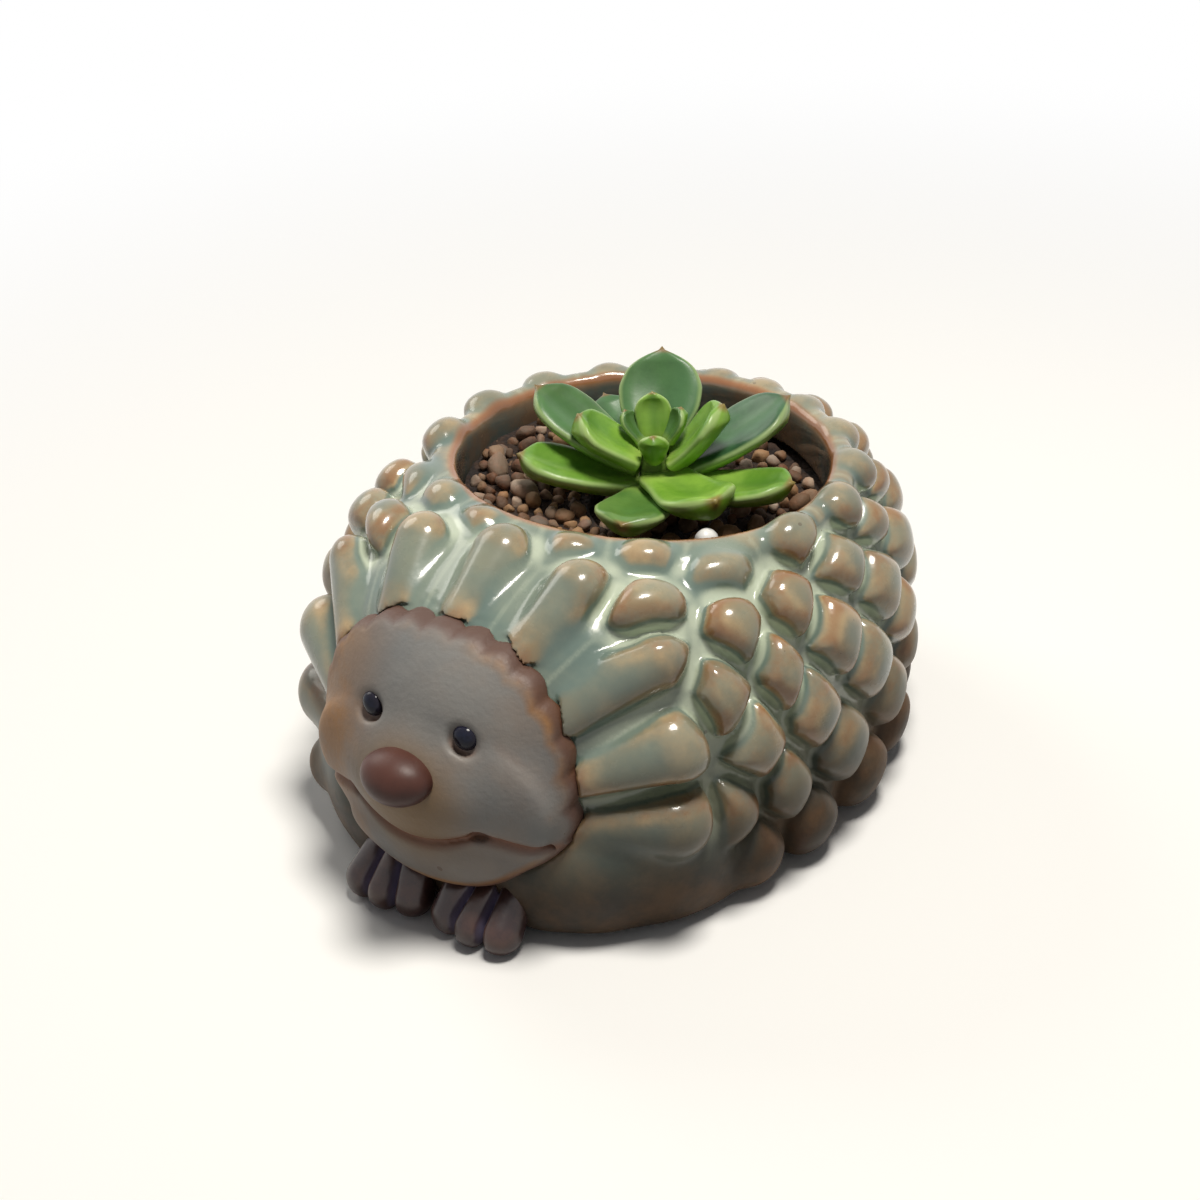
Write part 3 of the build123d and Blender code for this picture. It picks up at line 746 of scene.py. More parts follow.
def placeSpines(clay, s):
    p = potSettings
    for angle, height in s["skirts"]:
        for side in (1, -1):
            spot = wallPoint(side * angle, height)
            shape = ellipsoid(spot, wallFrame(spot), s["skirtEgg"])
            clay.press(shape, spot, s["skirtReach"], s["skirtBlend"])
    clay.startLobes()
    sizes = zip(s["petalTipY"], s["petalRoot"], s["petalTip"], s["petalSink"], s["petalTipSink"])
    petals = [(tilt, *size) for tilt, size in zip(s["petalTilts"], sizes)]
    petals += [(-tilt, *size) for tilt, *size in petals if tilt > 0]
    for tilt, tipY, rootRadius, tipRadius, rootSink, tipSink in [*petals, s["lowPetal"]]:
        root = wallRoundFace(tilt, s["petalRootY"])
        tip = wallRoundFace(tilt, tipY)
        root = root - wallFrame(root)[2] * rootSink
        tip = tip - wallFrame(tip)[2] * tipSink
        shape = roundCone(root, tip, rootRadius, tipRadius)
        clay.addLobe(shape, (root + tip) / 2, s["petalReach"])
    for row, height in enumerate(s["rowHeights"]):
        angles = s["oddAngles"] if row % 2 == 0 else s["evenAngles"]
        whole = sorted([*angles, *[360 - a for a in angles if a < 180]])
        spots = [wallPoint(a, height) for a in whole]
        for k, spot in enumerate(spots):
            gaps = [np.linalg.norm(spot - spots[j]) for j in (k - 1, k + 1) if 0 <= j < len(spots)]
            width = min(s["eggWidest"], s["eggWidth"] * min(gaps))
            radii = (width, s["eggUp"][row], s["eggOut"])
            shape = ellipsoid(spot, wallFrame(spot), radii, s["eggDown"][row])
            clay.addLobe(shape, spot, s["eggReach"])
    for angle, height in s["between"]:
        spot = wallPoint(angle, height)
        clay.addLobe(ellipsoid(spot, wallFrame(spot), s["betweenEgg"]), spot, s["nubReach"])
    width, length = p["mouthWidth"] + p["rimThickness"], p["mouthLength"] + p["rimThickness"]
    for angle, widthShare, slide in s["rimNubs"]:
        for side in (1, -1):
            turn = math.radians(side * angle)
            front = math.cos(turn)
            height = p["rim"] - s["rimDrop"] + s["rimTilt"] * front
            spot = np.array([
                (width + slide) * math.sin(turn),
                p["mouthBack"] - (length + slide) * front,
                height - slide,
            ])
            out = np.array([math.sin(turn), -front, s["rimLean"]])
            out /= np.linalg.norm(out)
            sideways = np.array([math.cos(turn), math.sin(turn), 0.0])
            radii = (s["rimNub"][0] * widthShare, *s["rimNub"][1:])
            shape = ellipsoid(spot, (sideways, np.cross(out, sideways), out), radii)
            clay.addLobe(shape, spot, s["nubReach"])
    lobes = clay.lobes(s["channelDepth"], s["channelWidth"])
    clay.values = smoothMin(clay.values, lobes, s["blend"])


def makePot(s):
    clay = Clay(s["gridLow"], s["gridHigh"], s["step"])
    x, y, z = clay.everywhere()
    mouth = mouthField(x, y)
    clay.values = np.broadcast_to(wallField(x, y, z), [len(a) for a in clay.axes]).astype(np.float32)
    # rolled collar round the mouth
    half = s["rimThickness"] / 2
    beside = np.abs(mouth - half) - (half - s["rimRound"])
    above = z - (s["rim"] - s["rimRound"])
    collar = np.hypot(np.maximum(beside, 0), np.maximum(above, 0))
    collar = collar + np.minimum(np.maximum(beside, above), 0)
    collar = np.maximum(collar - s["rimRound"], s["collarFoot"] - z)
    clay.values = smoothMin(clay.values, collar, s["collarBlend"]).astype(np.float32)
    placeSpines(clay, spineSettings)
    # seat of the face, foot ring, cavity and drain
    seat = np.maximum(s["faceGap"] - wallField(x, y, z), y + s["faceBack"])
    behindFace = np.maximum(faceOutline(x, z), seat)
    clay.values = smoothMax(clay.values, -behindFace, s["faceEdge"])
    clay.values = smoothMax(clay.values, s["recess"] - z, s["baseRound"])
    footOval = np.sqrt((x / s["footOval"][0]) ** 2 + (y / s["footOval"][1]) ** 2)
    footSide = np.abs(footOval - s["footShare"]) * s["footSpan"] - s["footHalf"]
    ring = np.maximum(footSide, np.abs(z - s["footHeight"] / 2) - s["footHeight"] / 2)
    clay.values = np.minimum(clay.values, ring)
    ends = np.maximum(s["floorTop"] - z, z - s["cavityTop"])
    cavity = np.maximum(wallField(x, y, z, -s["wall"]), ends)
    shaft = np.maximum(mouth, s["soil"] - 1 - z)
    clay.values = smoothMax(clay.values, -np.minimum(cavity, shaft), s["mouthRound"])
    drain = np.hypot(x, y) - s["drain"] + 0 * z
    drilled = np.maximum(clay.values, -drain)
    clay.values = np.where(z < s["floorTop"] + 1, drilled, clay.values).astype(np.float32)
    pot, points = fireClay(clay, "pot_skin")
    bulge = clay.sample(clay.softened(s["soften"]), points)
    paint(pot, "crest", np.clip(bulge / s["crestScale"], 0, 1))
    paint(pot, "crease", np.clip(-bulge / s["creaseScale"], 0, 1))
    gap = clay.sample(clay.second, points) - clay.sample(clay.nearest, points)
    onLobe = clay.sample(clay.nearest, points) < s["lobeReach"]
    paint(pot, "channel", np.exp(-(gap / s["channelReach"]) ** 2) * onLobe)
    inner = mouthField(points[:, 0], points[:, 1])
    paint(pot, "lip", np.clip(inner / s["lipReach"], -1, 1))
    return pot


glazeTones = {
    "body": ("#748474", "#92977f", 70.0, 0.38, 0.62),
    "cool": ("#5b7474", "#788d86", 38.0, 0.42, 0.60),
    "coolShare": 0.5,
    "brown": ("#97825f", "#bea37a", 120.0, 0.38, 0.64),
    "patch": (110.0, 0.34, 0.66),
    "patchShare": (0.55, 0.4),
    "thinFrom": (0.05, 0.62),
    "burntFrom": (0.55, 1.0),
    "burnt": (0.65, "#935f37"),
    "channelShare": 0.6,
    "pooledFrom": (0.25, 1.1),
    "pooled": (0.75, "#c9d2bb"),
    "inner": ("#56625f", "#755f4b", 70.0, 0.38, 0.64),
    "innerTo": (0.0, 0.14),
    "innerHeight": (0.042, 0.046),  # metres
    "lipFrom": (0.02, 0.12),
    "lipTo": (0.16, 0.42),
    "lipHeight": (0.050, 0.053),
    "lip": (0.85, "#9c6238"),
    # dark brown towards the bottom: partly the dark foot glaze, partly painted shade low on the wall
    "lowHeight": (0.008, 0.036),
    "low": ("#2c1c12", "#5e422b", 75.0, 0.38, 0.66),
    "lowStainAndShadeShare": 0.92,
    "specks": (260.0, 0.10, 0.5, "#5b4a3a"),
    "roughness": (0.16, 0.28),
    "lowRoughness": 0.35,
    "specular": 0.28,
    "coat": 0.5,
    "coatRoughness": 0.08,
    "grain": (700.0, 160.0, 0.7, 0.12, 0.0008),
}


def glazeFinish(s):
    finish, tree, shader = startFinish("celadonGlaze")
    where = addNode(tree, "ShaderNodeTexCoord").outputs["Object"]
    height = addNode(tree, "ShaderNodeSeparateXYZ", {"Vector": where}).outputs["Z"]
    crest, crease = painted(tree, "crest"), painted(tree, "crease")
    channel, lip = painted(tree, "channel"), painted(tree, "lip")
    body, cool = clouds(tree, s["body"]), clouds(tree, s["cool"])
    colour = mixColour(tree, s["coolShare"], body["Colour"], cool["Colour"])
    # the glaze is thin and brown on the crests, and pools pale in the channels
    patch = patches(tree, s["patch"])
    most, least = s["patchShare"]
    share = sums(tree, "ADD", sums(tree, "MULTIPLY", patch, most), least)
    thin = sums(tree, "MULTIPLY", ramp(tree, crest, *s["thinFrom"]), share)
    colour = mixColour(tree, thin, colour, clouds(tree, s["brown"])["Colour"])
    burnt = sums(tree, "MULTIPLY", ramp(tree, crest, *s["burntFrom"]), patch)
    colour = stained(tree, colour, burnt, s["burnt"])
    hollow = sums(tree, "ADD", crease, sums(tree, "MULTIPLY", channel, s["channelShare"]))
    colour = stained(tree, colour, ramp(tree, hollow, *s["pooledFrom"]), s["pooled"])
    inside = without(tree, ramp(tree, lip, *s["innerTo"]))
    inside = sums(tree, "MULTIPLY", inside, ramp(tree, height, *s["innerHeight"]))
    colour = mixColour(tree, inside, colour, clouds(tree, s["inner"])["Colour"])
    lipEnd = without(tree, ramp(tree, lip, *s["lipTo"]))
    lipLine = sums(tree, "MULTIPLY", ramp(tree, lip, *s["lipFrom"]), lipEnd)
    lipLine = sums(tree, "MULTIPLY", lipLine, ramp(tree, height, *s["lipHeight"]))
    colour = stained(tree, colour, lipLine, s["lip"])
    # dark brown towards the bottom: partly the dark foot glaze, partly painted shade low on the wall
    low = without(tree, ramp(tree, height, *s["lowHeight"]))
    lowStainAndShadeShare = sums(tree, "MULTIPLY", low, s["lowStainAndShadeShare"])
    colour = mixColour(tree, lowStainAndShadeShare, colour, clouds(tree, s["low"])["Colour"])
    tree.links.new(speckled(tree, colour, s["specks"]), shader.inputs["Base Color"])
    bounds = {"Value": body["Mask"], "To Min": s["roughness"][0], "To Max": s["roughness"][1]}
    rough = addNode(tree, "ShaderNodeMapRange", bounds).outputs["Result"]
    worn = sums(tree, "ADD", rough, sums(tree, "MULTIPLY", low, s["lowRoughness"]))
    tree.links.new(worn, shader.inputs["Roughness"])
    shine = sums(tree, "MULTIPLY", without(tree, low), s["coat"])
    tree.links.new(shine, shader.inputs["Coat Weight"])
    shader.inputs["Specular IOR Level"].default_value = s["specular"]
    shader.inputs["Coat Roughness"].default_value = s["coatRoughness"]
    roughened(tree, shader, s["grain"])
    return finish


potSkin = makePot(potSettings)
potSkin.data.materials.append(glazeFinish(glazeTones))
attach(potSkin, "pot")
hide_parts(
    "pot_shell", "face_spines", "rim_spines", *[f"spine_row_{k}" for k in range(1, 6)]
)
print("pot made", len(potSkin.data.vertices))


# Face: a thin scalloped plate of clay with a muzzle, a smile and a lower jaw
def nodeBox(name):
    low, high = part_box(name)
    return np.array(low) / mm, np.array(high) / mm


def nodeMiddle(name):
    low, high = nodeBox(name)
    return (low + high) / 2


def surfaceY(clay, x, z):
    along = clay.axes[1].astype(float)
    points = np.stack([np.full_like(along, x), along, np.full_like(along, z)], axis=1)
    inside = clay.sample(clay.values, points) < 0
    return float(along[np.argmax(inside)]) if inside.any() else frontY(x, z)


def makeFace(s):
    clay = Clay(s["gridLow"], s["gridHigh"], s["step"])
    x, y, z = clay.everywhere()
    wall = wallField(x, y, z)
    plate = np.abs(wall - s["seat"] - s["thickness"] / 2) - s["thickness"] / 2
    clay.values = smoothMax(plate, faceOutline(x, z) + 0 * y, s["edgeRound"]).astype(np.float32)
    muzzle = np.array([0, frontY(0, s["muzzleHeight"]), s["muzzleHeight"]])
    shape = ellipsoid(muzzle, uprightAxes, s["muzzleHalf"])
    clay.press(shape, muzzle, s["muzzleReach"], s["muzzleBlend"])
    jaw = np.array([0, frontY(0, s["jawHeight"], s["jawOut"]), s["jawHeight"]])
    clay.press(ellipsoid(jaw, uprightAxes, s["jawHalf"]), jaw, s["muzzleReach"], s["jawBlend"])
    cheekX, cheekZ = s["cheek"]
    for side in (1, -1):
        cheek = np.array([side * cheekX, frontY(cheekX, cheekZ, s["cheekOut"]), cheekZ])
        shape = ellipsoid(cheek, uprightAxes, s["cheekHalf"])
        clay.press(shape, cheek, s["cheekReach"], s["cheekBlend"])
    apart = np.abs(z - smileLine(x))
    ends = np.abs(x) < s["smileEnd"]
    groove = ends * s["grooveDepth"] * np.exp(-(apart / s["grooveWidth"]) ** 2)
    clay.values = (clay.values + groove).astype(np.float32)
    for side in (1, -1):
        dimple = np.array([side * s["dimple"][0], 0, s["dimple"][1]])
        dimple[1] = surfaceY(clay, dimple[0], dimple[2])
        shape = ellipsoid(dimple, uprightAxes, s["dimpleHalf"])
        clay.press(shape, dimple, s["dimpleReach"], s["dimpleBlend"], cut=True)
        eye = np.array([side * s["eye"][0], 0, s["eye"][1]])
        eye[1] = surfaceY(clay, eye[0], eye[2])
        shape = ellipsoid(eye, uprightAxes, s["eyeDent"])
        clay.press(shape, eye, s["eyeReach"], s["eyeBlend"], cut=True)
    clay.values = np.maximum(clay.values, s["seat"] - wall)
    face, points = fireClay(clay, "face_skin")
    px, pz = points[:, 0], points[:, 2]
    paint(face, "edge", np.clip(-faceOutline(px, pz) / s["edgeReach"], 0, 1))
    smile = np.exp(-(np.abs(pz - smileLine(px)) / s["smileTint"]) ** 2)
    paint(face, "smile", smile * (np.abs(px) < s["smileEnd"] + 1))
    underNose = nodeMiddle("nose") - np.array([0, 0, s["noseDrop"]])
    fromNose = np.linalg.norm(points - underNose, axis=1)
    paint(face, "noseNear", np.exp(-(fromNose / s["noseTint"]) ** 4))
    bulge = clay.sample(clay.softened(s["soften"]), points)
    paint(face, "crease", np.clip(-bulge / s["creaseScale"], 0, 1))
    return face, clay


faceTones = {
    "base": ("#7d7973", "#918b83", 55.0, 0.36, 0.64),
    "cool": ("#727a80", "#8c8f90", 28.0, 0.40, 0.62),
    "coolShare": 0.45,
    "iron": ("#86603f", "#a0764c", 80.0, 0.40, 0.60),
    "wander": (48.0, 0.40, 0.68),
    "wanderShare": 0.22,
    "bandTo": (0.03, 0.2),
    "bandLeast": 0.15,
    "cheekTo": (-0.019, -0.004),  # metres, the animal's right cheek
    "cheekLeast": 0.6,
    "noseNear": (0.85, "#826233"),
    "smileShare": 0.9,
    "creaseShare": 0.7,
    "line": "#7d4f33",
    "outlineTo": (0.0, 0.07),
    "outline": (0.9, "#4e2f21"),
    "specks": (190.0, 0.11, 0.6, "#5a4030"),
    "roughness": 0.52,
    "grain": (1100.0, 180.0, 0.5, 0.25, 0.0007),
}


def faceFinish(s):
    finish, tree, shader = startFinish("bareClay")
    edge, smile = painted(tree, "edge"), painted(tree, "smile")
    noseNear, crease = painted(tree, "noseNear"), painted(tree, "crease")
    base, cool = clouds(tree, s["base"]), clouds(tree, s["cool"])
    colour = mixColour(tree, s["coolShare"], base["Colour"], cool["Colour"])
    # iron stain along the edge and over one cheek
    wander = patches(tree, s["wander"])
    band = without(tree, ramp(tree, edge, *s["bandTo"]))
    stain = sums(tree, "MULTIPLY", band, sums(tree, "ADD", wander, s["bandLeast"]), clamp=True)
    stain = sums(tree, "MAXIMUM", stain, sums(tree, "MULTIPLY", wander, s["wanderShare"]))
    where = addNode(tree, "ShaderNodeTexCoord").outputs["Object"]
    sideways = addNode(tree, "ShaderNodeSeparateXYZ", {"Vector": where}).outputs["X"]
    cheek = without(tree, ramp(tree, sideways, *s["cheekTo"]))
    cheek = sums(tree, "MULTIPLY", cheek, sums(tree, "ADD", wander, s["cheekLeast"]))
    stain = sums(tree, "MAXIMUM", stain, cheek, clamp=True)
    colour = mixColour(tree, stain, colour, clouds(tree, s["iron"])["Colour"])
    colour = stained(tree, colour, noseNear, s["noseNear"])
    smileLook = sums(tree, "MULTIPLY", smile, s["smileShare"])
    line = sums(tree, "MAXIMUM", smileLook, sums(tree, "MULTIPLY", crease, s["creaseShare"]))
    colour = mixColour(tree, line, colour, tint(s["line"]))
    outline = without(tree, ramp(tree, edge, *s["outlineTo"]))
    colour = stained(tree, colour, outline, s["outline"])
    coverWith(tree, shader, speckled(tree, colour, s["specks"]), s)
    return finish


faceSkin, faceClay = makeFace(faceSettings)
faceSkin.data.materials.append(faceFinish(faceTones))
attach(faceSkin, "pot")
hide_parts("face_plate")
print("face made", len(faceSkin.data.vertices))


# Nose, eyes and paws
featureSettings = {
    "noseHalf": (5.3, 3.4, 4.2),
    "noseSpread": 1.3,
    "noseLift": 0.7,
    "noseReach": 12,
    "nosePoint": (0, -0.6, -0.2),
    "nosePointHalf": (4.4, 3.0, 3.8),
    "nosePointReach": 10,
    "noseBlend": 3.0,
    "noseMargin": 3,
    "noseStep": 0.3,
    "noseShade": 5.0,
    "eyeHalf": (2.15, 2.1, 1.6),
    "eyeOut": 0.3,
    "eyeReach": 5,
    "eyeBlend": 0.5,
    "eyeMargin": 4,
    "eyeStep": 0.2,
    "lidUp": 0.5,
    "lidSide": 0.3,
    "lidHalf": (1.6, 1.3, 1.4),
    "lidReach": 4,
    "lidBlend": 1.0,
    "toePitch": 4.7,
    "toes": 3,
    "pawSpread": 9.4,
    "toeRadius": 3.8,
    "toeHeight": 3.6,
    "toeSpread": 0.25,
    "toeSet": 0.7,
    "toeReach": 18,
    "toeGroove": (1.3, 0.9),
    "grooveHighlightReach": 1.3,
    "wristRadius": 3.4,
    "wristHeight": 7.5,
    "wristSpread": 0.4,
    "wristOut": 0.3,
    "pawTop": (8.8, 0.42, 1.6),  # height, slope, rounding
    "sole": (0.05, 0.8),  # height, rounding
    "pawSeat": 0.2,
    "faceSeat": 0.1,
    "pawLowest": 0.02,
    "pawMargins": (3, 4),
    "pawStep": 0.35,
    "pawSoften": 2,  # cells
    "pawCrest": 0.4,
}


def makeNose(s):
    middle = nodeMiddle("nose")
    low, high = nodeBox("nose")
    clay = Clay(low - s["noseMargin"], high + s["noseMargin"], s["noseStep"])
    clay.values = clay.blank()
    for side in (1, -1):
        half = middle + np.array([side * s["noseSpread"], 0, s["noseLift"]])
        clay.press(ellipsoid(half, uprightAxes, s["noseHalf"]), half, s["noseReach"], s["noseBlend"])
    point = middle + np.array(s["nosePoint"])
    shape = ellipsoid(point, uprightAxes, s["nosePointHalf"])
    clay.press(shape, point, s["nosePointReach"], s["noseBlend"])
    nose, points = fireClay(clay, "nose_bead")
    # painted light: the top is marked for a lighter brown and the underside for a darker one, as if lit
    # from above
    paint(nose, "top", np.clip((points[:, 2] - middle[2]) / s["noseShade"] + 0.5, 0, 1))
    return nose


noseTones = {
    "brown": ("#371b16", "#47261f", 140.0, 0.35, 0.65),
    "litTopFrom": (0.55, 1.0),
    # painted highlight on the top of the nose and painted shade under it
    "top": (0.35, "#613d31"),
    "under": (0.55, "#3a1e17"),
    "roughness": 0.42,
    "specular": 0.3,
    "grain": (900.0, 260.0, 0.5, 0.12, 0.0005),
}


def noseFinish(s):
    finish, tree, shader = startFinish("noseSlip")
    top = painted(tree, "top")
    colour = clouds(tree, s["brown"])["Colour"]
    # painted highlight over the top, then painted shade on the underside
    colour = stained(tree, colour, ramp(tree, top, *s["litTopFrom"]), s["top"])
    level, code = s["under"]
    colour = mixColour(tree, sums(tree, "SUBTRACT", level, top, clamp=True), colour, tint(code))
    coverWith(tree, shader, colour, s)
    return finish


def makeEye(name, node, s):
    side = 1 if nodeMiddle(node)[0] > 0 else -1
    x, z = side * faceSettings["eye"][0], faceSettings["eye"][1]
    middle = np.array([x, surfaceY(faceClay, x, z) - s["eyeOut"], z])
    axes = wallFrame(np.array([x, frontY(x, z), z]))
    sideways, climb, out = axes
    clay = Clay(middle - s["eyeMargin"], middle + s["eyeMargin"], s["eyeStep"])
    clay.values = clay.blank()
    clay.press(ellipsoid(middle, axes, s["eyeHalf"]), middle, s["eyeReach"], s["eyeBlend"])
    lid = middle + climb * s["lidUp"] - sideways * s["lidSide"]
    clay.press(ellipsoid(lid, axes, s["lidHalf"]), lid, s["lidReach"], s["lidBlend"])
    eye, points = fireClay(clay, name)
    paint(eye, "front", np.clip((points - middle) @ out / s["eyeHalf"][2], 0, 1))
    return eye


eyeTones = {
    "dark": ("#0d1020", "#181e34", 400.0, 0.40, 0.60),
    "edge": "#2a2430",
    "roughness": 0.14,
    "specular": 0.18,
}


def eyeFinish(s):
    finish, tree, shader = startFinish("eyeGlaze")
    aside = without(tree, painted(tree, "front"))
    colour = mixColour(tree, aside, clouds(tree, s["dark"])["Colour"], tint(s["edge"]))
    coverWith(tree, shader, colour, s)
    return finish


def makePaw(name, node, s):
    low, high = nodeBox(node)
    side = 1 if low[0] + high[0] > 0 else -1
    tipY = low[1] + s["toeRadius"]
    clay = Clay(low - s["pawMargins"][0], high + s["pawMargins"][1], s["pawStep"])
    clay.startLobes()
    for toe in range(s["toes"]):
        outer = toe - (s["toes"] - 1) / 2
        x = side * s["pawSpread"] + s["toePitch"] * outer
        back = frontY(x, s["wristHeight"]) - s["wristOut"]
        wrist = np.array([x - outer * s["wristSpread"], back, s["wristHeight"]])
        front = tipY + abs(outer) * s["toeSet"]
        tip = np.array([x + outer * s["toeSpread"], front, s["toeHeight"]])
        shape = roundCone(wrist, tip, s["wristRadius"], s["toeRadius"])
        clay.addLobe(shape, (wrist + tip) / 2, s["toeReach"])
    clay.values = clay.lobes(*s["toeGroove"])
    x, y, z = clay.everywhere()
    top, slope, topRound = s["pawTop"]
    clay.values = smoothMax(clay.values, z - top + (tipY - y) * slope, topRound)
    clay.values = smoothMax(clay.values, s["sole"][0] - z, s["sole"][1])
    wall = wallField(x, y, z)
    clay.values = np.maximum(clay.values, s["pawSeat"] - wall).astype(np.float32)
    under = np.maximum(faceOutline(x, z) - s["pawSeat"], s["faceSeat"] - wall)
    clay.values = np.maximum(clay.values, -under).astype(np.float32)
    paw, points = fireClay(clay, name, rounds=1, lowest=s["pawLowest"])
    gap = clay.sample(clay.second, points) - clay.sample(clay.nearest, points)
    # marks the grooves between the toes for a painted pale purple-blue highlight
    paint(paw, "groove", np.exp(-(gap / s["grooveHighlightReach"]) ** 2))
    bulge = clay.sample(clay.softened(s["pawSoften"]), points)
    paint(paw, "crest", np.clip(bulge / s["pawCrest"], 0, 1))
    return paw


pawTones = {
    "brown": ("#3d2a2a", "#5a3f38", 130.0, 0.38, 0.64),
    "grooveHighlightFrom": (0.35, 1.0),
    # painted highlight: pale purple-blue along the grooves between the toes
    "groove": "#8d86a0",
    "patch": (170.0, 0.45, 0.70),
    "wornFrom": (0.3, 1.0),
    "worn": (0.7, "#86593f"),
    "roughness": 0.3,
    "grain": (800.0, 200.0, 0.6, 0.15, 0.0006),
}


def pawFinish(s):
    finish, tree, shader = startFinish("pawGlaze")
    # painted highlight along the grooves between the toes
    groove = ramp(tree, painted(tree, "groove"), *s["grooveHighlightFrom"])
    colour = mixColour(tree, groove, clouds(tree, s["brown"])["Colour"], tint(s["groove"]))
    crest = ramp(tree, painted(tree, "crest"), *s["wornFrom"])
    worn = sums(tree, "MULTIPLY", crest, patches(tree, s["patch"]))
    coverWith(tree, shader, stained(tree, colour, worn, s["worn"]), s)
    return finish


noseBead = makeNose(featureSettings)
noseBead.data.materials.append(noseFinish(noseTones))
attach(noseBead, "pot")
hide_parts("nose")
eyeLook = eyeFinish(eyeTones)
pawLook = pawFinish(pawTones)
for sideName in ("left", "right"):
    eyeBead = makeEye(f"{sideName}_eye_bead", f"{sideName}_eye", featureSettings)
    eyeBead.data.materials.append(eyeLook)
    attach(eyeBead, "pot")
    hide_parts(f"{sideName}_eye")
    pawSkin = makePaw(f"{sideName}_paw_skin", f"{sideName}_paw", featureSettings)
    pawSkin.data.materials.append(pawLook)
    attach(pawSkin, "pot")
    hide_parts(f"{sideName}_paw")
print("nose, eyes and paws made")


# Succulent: thick waxy leaves round a short stem
plantSettings = {
    "stemFoot": (3.0, 9.0, 46.5),
    "stemRadius": 3.5,
    "stemTop": 1.8,
    "stemHeight": 14.8,
    "gap": 0.15,
    "crownShare": 0.35,
    "rootDepth": 0.15,
    "depthSlope": 1.3,
    "rootWidth": 0.30,
    "shape": ((0.44, 0.94), (0.66, 1.03), (0.84, 0.86), (0.95, 0.46), (1, 0.08)),
    "least": 0.07,
    "cup": 0.08,
    "crownPower": 0.7,
    "trough": (0.20, 0.75),  # depth, half width
    "keel": (1.9, 0.75),
    "edgeWave": (0.025, 7),
    "ripple": (0.06, 5, 0.2),
    "tipLength": 0.035,
    "ringPower": 1.35,
    "seed": 900,
    "rings": 44,
    "around": 40,
    # turn from +X, height on stem, rise at root and tip, length, width, thickness, root share, share of
    # the sunlit colour (painted light and shade, partly the leaf's own tone)
    "leaves": (
        (117, 10.3, 30, 60, 20.0, 14.8, 4.6, 0.46, 0.10),
        (48, 8.0, 18, 36, 24.3, 15.2, 4.8, 0.46, 0.00),
        (183, 9.2, 16, 38, 24.0, 13.2, 4.8, 0.46, 0.20),
        (146, 6.0, 10, 28, 22.0, 11.0, 3.6, 0.46, 0.05),
        (211, 6.8, 5, 25, 21.8, 13.0, 5.0, 0.52, 0.75),
        (209, 11.5, 25, 52, 13.4, 11.6, 4.6, 0.85, 0.90),
        (124, 13.2, 70, 83, 8.8, 6.4, 3.0, 0.80, 0.85),
        (28, 11.5, 38, 56, 13.8, 11.0, 4.4, 0.85, 0.85),
        (54, 13.8, 60, 72, 6.8, 5.0, 2.4, 0.60, 0.20),
        (-72, 6.6, 4, 15, 19.0, 13.2, 4.2, 0.60, 0.35),
        (-30, 8.4, 4, 24, 20.5, 13.4, 5.0, 0.70, 0.95),
        (6, 6.6, 5, 20, 24.0, 12.6, 4.4, 0.60, 0.80),
        (176, 13.4, 46, 64, 6.8, 4.2, 2.2, 0.60, 0.20),
        (-58, 12.4, 62, 76, 6.0, 5.4, 2.4, 0.70, 0.70),
    ),
}


def smoothCurve(knots, spots, rounds=3):
    # even curve through the knots, with their corners eased
    fine = np.linspace(0, 1, 241)
    values = np.interp(fine, [k[0] for k in knots], [k[1] for k in knots])
    for _ in range(rounds):
        start = 2 * values[0] - values[9:0:-1]
        end = 2 * values[-1] - values[-2:-11:-1]
        padded = np.concatenate([start, values, end])
        values = np.convolve(padded, np.ones(19) / 19, mode="valid")
    return np.interp(spots, fine, values)


